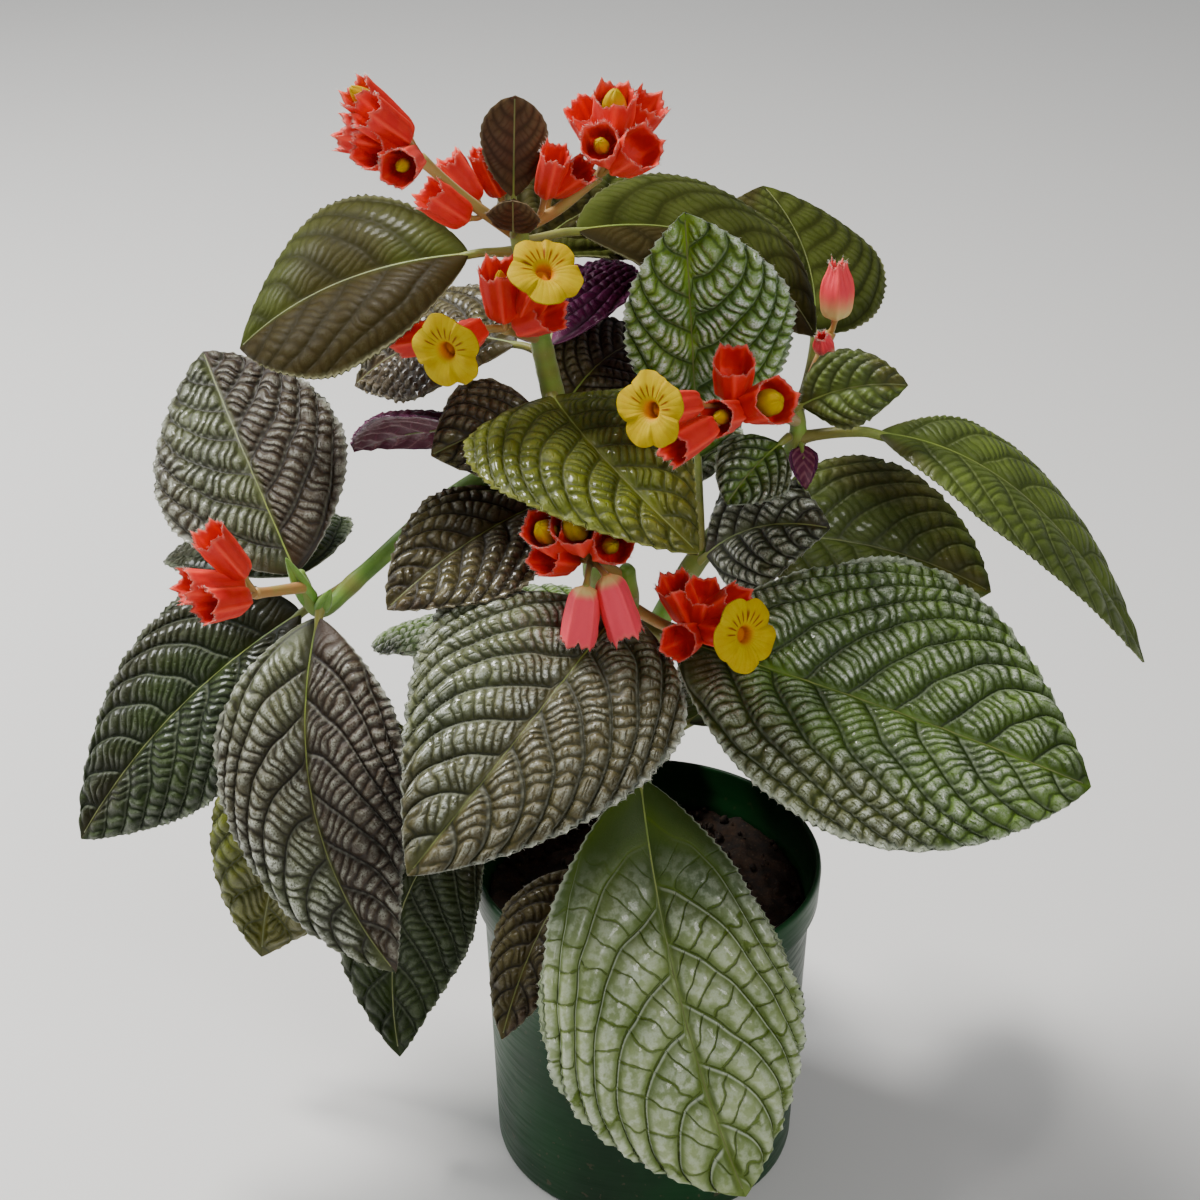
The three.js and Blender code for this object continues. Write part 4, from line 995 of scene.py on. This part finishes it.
def make_leaf(row, number):
    """A leaf: both faces of the toothed blade with its edge, and the stalk that runs on as the midrib."""
    form = LeafForm(row, number)
    half_rows = max(12, int(form.detail * ROWS_PER_TOOTH * form.blade / TOOTH_PITCH / 2))
    half_columns = 2 * max(4, int(form.detail * form.width / 4 / COLUMN_STEP))
    t = np.linspace(0, 1, 2 * half_rows + 1)[:, None] + np.zeros(2 * half_columns + 1)
    inner = np.linspace(0, 1, half_columns + 1) ** 0.94
    x = np.concatenate([-inner[:0:-1], inner]) + np.zeros((len(t), 1))
    v, w = form.net(t, x)
    panels, cells = form.quilting(t, x, v, w)
    rim = ease(np.abs(x), 0.955, 0.995)
    values = {
        "net": np.stack([v, w, rim], axis=-1),
        "flat": np.stack([t * form.blade, x * form.half_width(t, x), np.full_like(t, number)], axis=-1),
        "zone": np.stack([form.second_tone_and_shade(t, x), form.swell(t, x), form.shine(t, x)], axis=-1),
        "pitch": np.array([form.panel_width, form.ladder, form.partings]) + 0 * t[..., None],
    }
    vein = np.abs(np.mod(v + 0.5, 1) - 0.5) * form.blade / form.veins
    proud = 0.45 * np.exp(-(vein / 0.7) ** 2) * ease(1 - np.abs(x), 0, 0.08) * ease(t, 0.05, 0.2)
    depth = BLADE_THICKNESS * (1 - 0.5 * ease(np.abs(x), 0.94, 1)) + proud

    skin = Skin()
    top = skin.add(form.point(t, x, v, panels + cells), **values)
    coarse = (slice(None, None, 2), slice(None, None, 2))
    lower = form.point(t, x, v, lowest_near(panels) - depth)
    below = skin.add(lower[coarse], **{key: value[coarse] for key, value in values.items()})
    skin.cover(top, 0, flip=True)
    for band, kind in ((below[:, :2], 0), (below[:, 1:-1], 1), (below[:, -2:], 0)):
        skin.cover(band, kind)
    skin.edge(outline(top), outline(below))
    add_rib(skin, form)
    border = np.concatenate([lower[2::2, 0], lower[2::2, -1]])
    inner = np.concatenate([lower[2::2, 4], lower[2::2, -5]])
    plain = np.zeros(3)
    length = bpy.context.scene.plant_sizes.leaf_hair / MM
    add_hairs(skin, border, border - inner, length, SEED + number, kind=3, net=plain, flat=plain,
              zone=plain, pitch=plain, redness=0.0)
    finishes = (f"{form.look or form.finish} leaf", "leaf underside", "leaf stalk", "pale hair")
    piece = skin.build(f"{form.name}_blade", [finish(name) for name in finishes])
    settle(piece, form.name)


def lowest_near(heights):
    """The lowest of the heights at each point of a grid and its eight neighbours."""
    padded = np.pad(heights, 1, mode="edge")
    rows, columns = heights.shape
    return np.min([padded[i:i + rows, j:j + columns] for i in range(3) for j in range(3)], axis=0)


def outline(grid):
    """The points round the border of a grid, in order."""
    return np.concatenate([grid[0, :-1], grid[:-1, -1], grid[-1, :0:-1], grid[:0:-1, 0]])


def add_rib(skin, form):
    """The leaf stalk from the shoot to the blade, which tapers on under the blade as its midrib."""
    share = np.linspace(0, 0.98, int(30 + form.length / 1.6))
    along = (share - form.stalk) / (1 - form.stalk)
    foot_radius = (STALK_RADIUS + STALK_GIRTH * form.width) * form.girth
    radius = np.interp(share, [0, form.stalk, form.stalk + 0.35, 1],
                       [foot_radius, 0.85 * foot_radius, 0.5 * foot_radius, RIB_TIP_RADIUS])
    radius = radius * (1 + 0.35 * np.exp(-(share * form.length / 3) ** 2))
    centre, _, up = form.frames(share)
    sink = ease(along, -0.05, 0.04) * (radius - 0.12)
    empty = np.zeros((len(share), RIB_SIDES, 3))
    redness = np.repeat(0.5 * (1 - ease(share, 0, form.stalk + 0.1)), RIB_SIDES)
    zone = empty + np.array([0, 0, 1]) * ease(along, 0.0, 0.5)[:, None, None]
    skin.tube(centre - up * sink[:, None], radius, RIB_SIDES, kind=2, net=empty, flat=empty, zone=zone,
              pitch=empty, redness=redness)


def make_stem():
    """The fleshy stem and its side shoots, swollen where the leaves part from them."""
    skin = Skin()
    feet = np.array([row["start"] for row in LEAVES], float)
    sides = 20
    for shoot in SHOOTS:
        share = np.linspace(0, 1, 90)
        route = smooth_route(shoot["points"], share)
        radius = np.interp(share, [0, 1], shoot["radii"])
        nearest = np.linalg.norm(route[:, None] - feet, axis=-1).min(axis=1)
        radius = radius * (1 + 0.16 * np.exp(-(nearest / 3.2) ** 2))
        radius[-1] *= 0.7
        angle = turns(sides)
        shape = 1 + 0.05 * np.cos(4 * angle) + 0.02 * smooth_noise(share[:, None] * 30, angle * 1.5, SEED)
        redness = np.repeat(0.5 * np.exp(-(nearest / 3) ** 2), sides)
        skin.tube(route, radius, sides, shape=shape, redness=redness)
    for sprout in SPROUTS:
        add_sprout(skin, sprout)
    piece = skin.build("stem_skin", [finish("stem skin")])
    settle(piece, "stem")


def add_sprout(skin, sprout):
    """A small unfolding leaf: flat, widest near its foot and drawn out to a point."""
    rows, sides = 24, 16
    share = np.linspace(0, 1, rows)
    start, tip = np.array(sprout["from"], float), np.array(sprout["tip"], float)
    route = start + (tip - start) * share[:, None] + np.array([0, 1.2, 0]) * (share * share)[:, None]
    radius = 0.15 + sprout["width"] / 2 * np.sin(np.pi * share ** 0.6) ** 0.8
    flat = np.sqrt(np.cos(turns(sides)) ** 2 + 0.03) * np.ones((rows, 1))
    skin.tube(route, radius, sides, shape=flat, redness=0.0)


class HeadForm:
    """Where the points of a flower head lie: up its axis from the foot, and round it."""

    def __init__(self, row):
        self.__dict__.update(row)
        self.base = np.array(self.foot, float)
        axis = np.array(self.mouth, float) - self.base
        self.length = np.linalg.norm(axis)
        self.axis = axis / self.length
        helper = np.array([1.0, 0, 0]) if abs(self.axis[2]) > 0.9 else np.array([0, 0, 1.0])
        self.aside = unit(np.cross(helper, self.axis))
        self.beyond = np.cross(self.axis, self.aside)

    def points(self, height, radius, angle):
        spoke = self.aside * np.cos(angle)[..., None] + self.beyond * np.sin(angle)[..., None]
        return self.base + self.axis * np.asarray(height)[..., None] + spoke * np.asarray(radius)[..., None]


def add_calyx(skin, form, number):
    """A felted calyx: a bell with five winged ridges and a ragged, nearly level mouth."""
    angle = turns(CALYX_SIDES)[None]
    lobe, notch = (np.abs(((angle * waves / (2 * np.pi) + 0.5) % 1) - 0.5) * 2
                   for waves in (CALYX_LOBES, 3 * CALYX_LOBES))
    ragged = 0.04 * smooth_noise(angle * 5, angle * 0 + number, SEED)
    reach = 1.02 - 0.1 * lobe - 0.05 * notch + ragged
    wing = np.maximum(0, np.cos(CALYX_LOBES * angle)) ** 3
    up_rows = np.linspace(0, 1, 22)[:, None]
    down_rows = np.linspace(1, 0.5, 8)[:, None]

    def wall(share, inset):
        rise = share * (CALYX_BELLY + (reach - CALYX_BELLY) * ease(share, 0.1, 0.75))
        body = np.interp(share, [0, 0.15, 0.35, 0.6, 1], [0.26, 0.52, 0.8, 0.92, 1.03])
        body = body * (1 - form.shut * (0.7 * ease(share, 0.5, 1) - 0.25 * ease(share, 0, 0.2)))
        rough = 0.03 * smooth_noise(angle * 2.2, share * 7 + number, SEED + 4)
        spread = body + rough + 0.14 * wing * ease(share, 0.02, 0.25) * (1 - 0.5 * ease(share, 0.6, 1))
        return rise * form.length, np.maximum(form.radius * spread - inset, 0.3)

    outer = wall(up_rows, 0)
    lip = wall(down_rows, CALYX_WALL)
    height = np.concatenate([outer[0], lip[0][1:]])
    radius = np.concatenate([outer[1], lip[1][1:]])
    rise = np.concatenate([up_rows, down_rows[1:]]) + 0 * angle
    ridge = wing + 0 * rise
    calyx = np.stack([rise, ridge, np.full_like(rise, form.blush)], axis=-1)
    index = skin.add(form.points(height, radius, angle), calyx=calyx, redness=0.0, pale=form.pale)
    skin.close(index, form.base, form.base + form.axis * CALYX_FLOOR * form.length)
    lip = np.repeat(form.points(outer[0][-1:], outer[1][-1:], angle)[0], 2, axis=0)
    middle = form.base + form.axis * form.length
    length = bpy.context.scene.plant_sizes.calyx_hair / MM
    add_hairs(skin, lip, unit(lip - middle) + 0.8 * form.axis, length, SEED + number,
              kind=2, calyx=np.zeros(3), redness=0.0)


def make_cluster(cluster):
    """The stalks and calyces of one cluster, with the buds and open flowers that stand in them."""
    skin = Skin()
    forms = [HeadForm(row) for row in cluster["heads"]]
    rows, sides = 24, 14
    share = np.linspace(0, 1, rows)
    radius = np.linspace(PEDUNCLE_RADIUS * 1.15, 0.9 * PEDUNCLE_RADIUS, rows)
    radius = radius * (1 + 0.25 * np.exp(-((1 - share) / 0.12) ** 2))
    skin.tube(smooth_route(cluster["stalk"], share), radius, sides, kind=1,
              calyx=np.zeros((rows, sides, 3)), redness=0.35)
    rows, sides = 14, 10
    share = np.linspace(0, 1, rows)
    for number, form in enumerate(forms):
        parting = np.array(form.joins or cluster["stalk"][-1], float)
        knee = (parting + form.base) / 2 - form.axis * 0.6
        stalk = smooth_route([parting, knee, form.base + form.axis], share)
        width = PEDICEL_RADIUS * np.interp(share, [0, 0.7, 1], [1.1, 0.9, 1.5])
        skin.tube(stalk, width, sides, kind=1, calyx=np.zeros((rows, sides, 3)),
                  redness=0.5 * (1 - form.blush))
        add_calyx(skin, form, number)
    piece = skin.build(f"{cluster['name']}_calyces",
                       [finish(name) for name in ("calyx felt", "flower stalk", "pale hair")])
    settle(piece, cluster["name"])
    held = [form for form in forms if form.holds in MAKERS]
    for number, form in enumerate(held, 1):
        node = f"{cluster['name'].replace('flowers', form.holds)}_{number}"
        MAKERS[form.holds](form, node)


def make_bud(form, node):
    """A plump yellow bud of five folded petals that meet in a low swirl."""
    sides, rows = 40, 22
    angle = turns(sides)[None]
    radius = BUD_SHARE * form.radius * form.fill
    foot = CALYX_FLOOR * form.length
    top = form.length * (0.7 + 0.32 * form.fill)
    share = np.linspace(0, 1, rows)[:, None]
    seam = np.abs(np.sin(2.5 * angle + 1.6 * share)) ** 0.5
    body = np.sin(np.pi * (0.16 + 0.82 * share)) ** 0.62
    reach = radius * body * (0.88 + 0.12 * seam) + 0.02
    height = foot + (top - foot) * (share - 0.05 * (1 - seam) * ease(share, 0.6, 1))
    petal = np.stack([0.6 + 0.4 * share + 0 * angle, seam + 0 * share, 0 * seam], axis=-1)
    skin = Skin()
    index = skin.add(form.points(height + 0 * angle, reach, angle), petal=petal)
    skin.close(index, form.base + form.axis * foot, form.base + form.axis * top)
    piece = skin.build(f"{node}_petals", [finish("yellow petal")])
    settle(piece, node)


def make_flower(form, node):
    """An open flower: a flared tube with five round overlapping lobes, waved at their margins."""
    angle = turns(COROLLA_SIDES)[None]
    phase = angle * PETALS / (2 * np.pi)
    aside = (phase % 1 - 0.5) * 2 * np.pi / PETALS
    bulge = np.sqrt((1 - LOBE_CENTRE) ** 2 - (LOBE_CENTRE * np.sin(aside)) ** 2)
    lobe = LOBE_CENTRE * np.cos(aside) + bulge
    foot = CALYX_FLOOR * form.length
    limb = form.length + 1.6
    rows = np.linspace(0, 1, 40)[:, None]
    margin = COROLLA_RADIUS * lobe * (1 + 0.03 * smooth_noise(angle * 4, angle * 0, SEED + len(node)))
    flare = ease(rows, 0.3, 0.55)
    spread = ease(rows, 0.4, 1) ** 0.9
    tube = COROLLA_TUBE * (0.75 + 0.25 * ease(rows, 0, 0.3))
    reach = tube + (margin - tube) * spread
    wave = 0.5 * smooth_noise(angle * 3.5, rows * 2 + 5, SEED + form.foot[0]) * spread ** 2
    overlap = 0.7 * (phase % 1) * ease(spread, 0.1, 0.6)
    height = foot + (limb - foot) * ease(rows, 0, 0.55) + 0.9 * flare * spread - 1.3 * spread ** 3
    height = height + wave + overlap - 0.3
    skyward = form.points(0 * angle, 0 * angle + 1, angle)[..., 2] - form.base[2]
    upper = ease(skyward / np.abs(skyward).max(), -0.1, 0.3) + 0 * rows
    petal = np.stack([reach / COROLLA_RADIUS, phase + 0 * rows, upper], axis=-1)
    skin = Skin()
    behind = height - PETAL_THICKNESS * (0.3 + spread)
    back = skin.add(form.points(behind, reach, angle), petal=petal * [1, 1, 0])
    front_reach = np.where(rows < 0.5, reach - 0.3, reach)
    front = skin.add(form.points(height, np.maximum(front_reach, 0.3), angle), petal=petal)
    skin.cover(back, round_way=True)
    skin.cover(front[THROAT_ROW:], round_way=True, flip=True)
    skin.cover(np.stack([back[-1], front[-1]]), round_way=True)
    skin.cap(back[0], form.base + form.axis * foot, flip=True)
    skin.cap(front[THROAT_ROW], form.base + form.axis * (limb - 1.8), petal=np.array([[0.05, 0, 0]]))
    piece = skin.build(f"{node}_petals", [finish("yellow petal")])
    settle(piece, node)


MAKERS = {"bud": make_bud, "flower": make_flower}


def pot_radius(height):
    return POT_FOOT_RADIUS + (POT_TOP_RADIUS - POT_FOOT_RADIUS) * height / POT_HEIGHT


def make_pot():
    """The moulded pot: a tapered wall with a rounded foot, a rolled band at the rim and drain holes."""
    band = POT_HEIGHT - RIM_BAND

    def inner(height):
        return pot_radius(height) - WALL

    profile = [
        [20, 0.6], [DRAIN_CIRCLE_RADIUS + 8, 0.6], [DRAIN_CIRCLE_RADIUS + 8.6, 0],
        [POT_FOOT_RADIUS - 2, 0], [POT_FOOT_RADIUS - 0.9, 0.35], [POT_FOOT_RADIUS - 0.2, 1.2],
        [pot_radius(2.5), 2.5], [pot_radius(30), 30], [pot_radius(60), 60], [pot_radius(band), band - 0.4],
        [pot_radius(band) + 0.5, band], [RIM_RADIUS - 0.8, band + 0.5], [RIM_RADIUS - 0.45, band + 1.2],
        [RIM_RADIUS - 0.2, band + 6], [RIM_RADIUS, POT_HEIGHT - 2], [RIM_RADIUS - 0.12, POT_HEIGHT - 0.9],
        [RIM_RADIUS - 0.5, POT_HEIGHT - 0.2], [RIM_RADIUS - 0.95, POT_HEIGHT],
        [RIM_RADIUS - 1.45, POT_HEIGHT - 0.25], [RIM_RADIUS - 1.75, POT_HEIGHT - 0.9],
        [RIM_RADIUS - 1.9, band + 4], [inner(band) + 0.5, band + 1], [inner(band), band - 1],
        [inner(60), 60], [inner(FLOOR + 2), FLOOR + 2], [inner(FLOOR) - 2, FLOOR], [20, FLOOR],
    ]
    profile = np.array(profile, float)
    angle = turns(POT_SIDES)
    ring = np.stack([np.cos(angle), np.sin(angle)], axis=-1)
    points = np.concatenate([
        profile[:, :1, None] * ring[None],
        np.repeat(profile[:, 1:, None], POT_SIDES, axis=1),
    ], axis=-1)
    skin = Skin()
    skin.close(skin.add(points), [0, 0, 0.6], [0, 0, FLOOR])
    piece = skin.build("pot_moulding", [finish("pot plastic")])
    cutter = Skin()
    for k in range(DRAIN_HOLES):
        turn = 2 * np.pi * (k + 0.5) / DRAIN_HOLES
        centre = DRAIN_CIRCLE_RADIUS * np.array([np.cos(turn), np.sin(turn), 0])
        cutter.tube(np.array([centre + [0, 0, z] for z in (-3.0, 1.0, 5.0)]), [DRAIN_HOLE_RADIUS] * 3, 32)
    drill = cutter.build("drain_drill", [])
    cut = piece.modifiers.new("drain holes", "BOOLEAN")
    cut.operation = "DIFFERENCE"
    cut.object = drill
    apply_modifiers(piece)
    bpy.data.objects.remove(drill, do_unlink=True)
    settle(piece, "pot")


def apply_modifiers(piece):
    """Makes what the piece's modifiers show its own mesh."""
    graph = bpy.context.evaluated_depsgraph_get()
    shaped = bpy.data.meshes.new_from_object(piece.evaluated_get(graph))
    piece.modifiers.clear()
    piece.data = shaped


def make_soil():
    """The potting mix: a lumpy surface with loose crumbs on it, round the foot of the stem."""
    angle = turns(SOIL_SIDES)[None]
    edge = pot_radius(SOIL_TOP) - WALL - 0.4
    reach = np.linspace(edge, 0.5, SOIL_RINGS)[:, None]
    x, y = reach * np.cos(angle), reach * np.sin(angle)
    height = SOIL_TOP - 0.6 + sum(
        size * smooth_noise(x / pitch + 50, y / pitch + 50, SEED + k)
        for k, (pitch, size) in enumerate(SOIL_WAVES)
    )
    height = np.minimum(height, SOIL_TOP + SOIL_RELIEF + 1.2)
    surface = np.stack([x, y, height], axis=-1)
    floor = FLOOR + 0.4
    walls = [(pot_radius(floor) - WALL - 3, floor), (pot_radius(floor) - WALL - 0.5, floor + 3),
             (edge, SOIL_TOP - 4)]
    base = np.array([np.stack([r * np.cos(angle[0]), r * np.sin(angle[0]), np.full(SOIL_SIDES, z)], axis=-1)
                     for r, z in walls])
    skin = Skin()
    skin.close(skin.add(np.concatenate([base, surface])), [0, 0, floor], [0, 0, SOIL_TOP - 1])
    draw = np.random.default_rng(SEED)
    for _ in range(CRUMBS):
        far = edge * draw.uniform(0.12, 0.97) ** 0.6
        turn = draw.uniform(0, 2 * np.pi)
        size = draw.uniform(0.5, 1.7)
        spot = np.array([far * np.cos(turn), far * np.sin(turn), SOIL_TOP + draw.uniform(-0.4, 0.7)])
        add_crumb(skin, spot, size, draw)
    piece = skin.build("soil_surface", [finish("potting mix")])
    settle(piece, "soil")


def add_crumb(skin, spot, size, draw):
    """One angular crumb of the potting mix."""
    rows, sides = 5, 7
    turn = turns(sides)
    slope = np.pi * np.linspace(0.15, 0.85, rows)[:, None]
    rough = size * draw.uniform(0.65, 1.1, (rows, sides))
    axes = draw.uniform(0.6, 1.2, 3)
    shape = np.stack([np.sin(slope) * np.cos(turn), np.sin(slope) * np.sin(turn),
                      np.cos(slope) + 0 * turn], axis=-1) * rough[..., None] * axes
    pole = np.array([0, 0, size * 0.8 * axes[2]])
    skin.close(skin.add(spot + shape), spot + pole, spot - pole, flip=True)


def add_object(name, data):
    thing = bpy.data.objects.new(name, data)
    bpy.context.scene.collection.objects.link(thing)
    return thing


def add_area_light(name, place, side, power, colour):
    light = bpy.data.lights.new(name, "AREA")
    light.shape = "RECTANGLE"
    light.size = light.size_y = side
    light.energy = power
    light.color = colour
    lamp = add_object(name, light)
    lamp.location = place
    lamp.rotation_euler = (Vector(LIGHT_TARGET) - Vector(place)).to_track_quat("-Z", "Y").to_euler()


class PlantSizes(bpy.types.PropertyGroup):
    """Sizes that shape the fine surfaces."""

    quilting: bpy.props.FloatProperty(
        name="Quilting", description="Scale of the swelling between the veins", default=1.0,
        min=0.0, max=2.0)
    tooth: bpy.props.FloatProperty(
        name="Teeth", description="Length of the teeth of the leaves",
        default=TOOTH * MM, min=0.0, max=0.003, unit="LENGTH")
    leaf_hair: bpy.props.FloatProperty(
        name="Leaf hairs", description="Length of the hairs along the leaves' margins",
        default=MARGIN_HAIR * MM, min=0.0001, max=0.003, unit="LENGTH")
    calyx_hair: bpy.props.FloatProperty(
        name="Calyx hairs", description="Length of the hairs round the calyces' mouths",
        default=CALYX_HAIR * MM, min=0.0001, max=0.003, unit="LENGTH")


class PlantColours(bpy.types.PropertyGroup):
    """Main colours of the flowers and the pot."""

    petals: bpy.props.FloatVectorProperty(
        name="Petals", description="Colour of the open flowers and the buds", subtype="COLOR", size=4,
        min=0.0, max=1.0, default=paint("c0a600"))
    calyx: bpy.props.FloatVectorProperty(
        name="Calyces", description="Colour of the calyces", subtype="COLOR", size=4, min=0.0, max=1.0,
        default=paint("e40e08"))
    pot: bpy.props.FloatVectorProperty(
        name="Pot", description="Colour of the pot's plastic", subtype="COLOR", size=4, min=0.0, max=1.0,
        default=paint("0f401b"))


class PlantStage(bpy.types.PropertyGroup):
    """The floor and the light."""

    floor_colour: bpy.props.FloatVectorProperty(
        name="Floor", description="Colour of the floor", subtype="COLOR", size=4, min=0.0, max=1.0,
        default=(0.78, 0.77, 0.75, 1.0))
    key_power: bpy.props.FloatProperty(
        name="Key light", description="Power of the key light", default=21.0, min=0.0, unit="POWER")


class CHRYSOTHEMIS_OT_stage(bpy.types.Operator):
    """Set the floor, the light and the camera"""

    bl_idname = "chrysothemis.stage"
    bl_label = "Set the stage"

    def execute(self, context):
        stage = context.scene.plant_stage
        camera = add_object("camera", bpy.data.cameras.new("camera"))
        camera.location = [value * MM for value in CAMERA_PLACE]
        camera.rotation_euler = (np.radians(90 - CAMERA_PITCH), 0, 0)
        camera.data.lens = CAMERA_LENS
        camera.data.sensor_width = CAMERA_SENSOR
        context.scene.camera = camera
        floor_mesh = bpy.data.meshes.new("floor")
        corners = [(FLOOR_REACH * x, FLOOR_REACH * y, 0) for x, y in ((-1, -1), (1, -1), (1, 1), (-1, 1))]
        floor_mesh.from_pydata(corners, [], [(0, 1, 2, 3)])
        paper = Material("floor paper", Roughness=0.9, Base_Color=stage.floor_colour)
        floor_mesh.materials.append(paper.material)
        floor = add_object("floor", floor_mesh)
        world = bpy.data.worlds.new("studio")
        world.use_nodes = True
        sky = world.node_tree.nodes["Background"]
        sky.inputs["Color"].default_value = SKY_COLOUR
        sky.inputs["Strength"].default_value = SKY_STRENGTH
        context.scene.world = world
        for name, place, side, share, colour in LIGHTS:
            add_area_light(name, place, side, share * stage.key_power, colour)
        return {"FINISHED"}


class CHRYSOTHEMIS_OT_pot(bpy.types.Operator):
    """Make the moulded pot"""

    bl_idname = "chrysothemis.pot"
    bl_label = "Pot"

    def execute(self, context):
        make_pot()
        return {"FINISHED"}


class CHRYSOTHEMIS_OT_soil(bpy.types.Operator):
    """Make the potting mix"""

    bl_idname = "chrysothemis.soil"
    bl_label = "Potting mix"

    def execute(self, context):
        make_soil()
        return {"FINISHED"}


class CHRYSOTHEMIS_OT_stem(bpy.types.Operator):
    """Make the stem and its side shoots"""

    bl_idname = "chrysothemis.stem"
    bl_label = "Stem"

    def execute(self, context):
        make_stem()
        return {"FINISHED"}


class CHRYSOTHEMIS_OT_leaves(bpy.types.Operator):
    """Make every leaf with its stalk"""

    bl_idname = "chrysothemis.leaves"
    bl_label = "Leaves"

    def execute(self, context):
        for number, row in enumerate(LEAVES):
            make_leaf(row, number)
        return {"FINISHED"}


class CHRYSOTHEMIS_OT_flowers(bpy.types.Operator):
    """Make the flower clusters with their buds and open flowers"""

    bl_idname = "chrysothemis.flowers"
    bl_label = "Flowers"

    def execute(self, context):
        for cluster in CLUSTERS:
            make_cluster(cluster)
        return {"FINISHED"}


STEPS = ("stage", "pot", "soil", "stem", "leaves", "flowers")

# Groups of values by the name that they have in the scene
HOLDERS = {"plant_sizes": PlantSizes, "plant_colours": PlantColours, "plant_stage": PlantStage}


class CHRYSOTHEMIS_PT_panel(bpy.types.Panel):
    """Lists the sizes, the light and the steps"""

    bl_idname = "CHRYSOTHEMIS_PT_panel"
    bl_label = "Potted Chrysothemis"
    bl_space_type = "VIEW_3D"
    bl_region_type = "UI"
    bl_category = "Chrysothemis"

    def draw(self, context):
        for holder in HOLDERS:
            values = getattr(context.scene, holder)
            for name in values.__annotations__:
                self.layout.prop(values, name)
        for step in STEPS:
            self.layout.operator(f"chrysothemis.{step}")


CLASSES = (
    *HOLDERS.values(), CHRYSOTHEMIS_OT_stage, CHRYSOTHEMIS_OT_pot, CHRYSOTHEMIS_OT_soil,
    CHRYSOTHEMIS_OT_stem, CHRYSOTHEMIS_OT_leaves, CHRYSOTHEMIS_OT_flowers, CHRYSOTHEMIS_PT_panel,
)


def register():
    for cls in CLASSES:
        bpy.utils.register_class(cls)
    for holder, cls in HOLDERS.items():
        setattr(bpy.types.Scene, holder, bpy.props.PointerProperty(type=cls))


def unregister():
    for holder in HOLDERS:
        delattr(bpy.types.Scene, holder)
    for cls in reversed(CLASSES):
        bpy.utils.unregister_class(cls)


def main():
    register()
    for step in STEPS:
        getattr(bpy.ops.chrysothemis, step)()


if __name__ == "__main__":
    main()
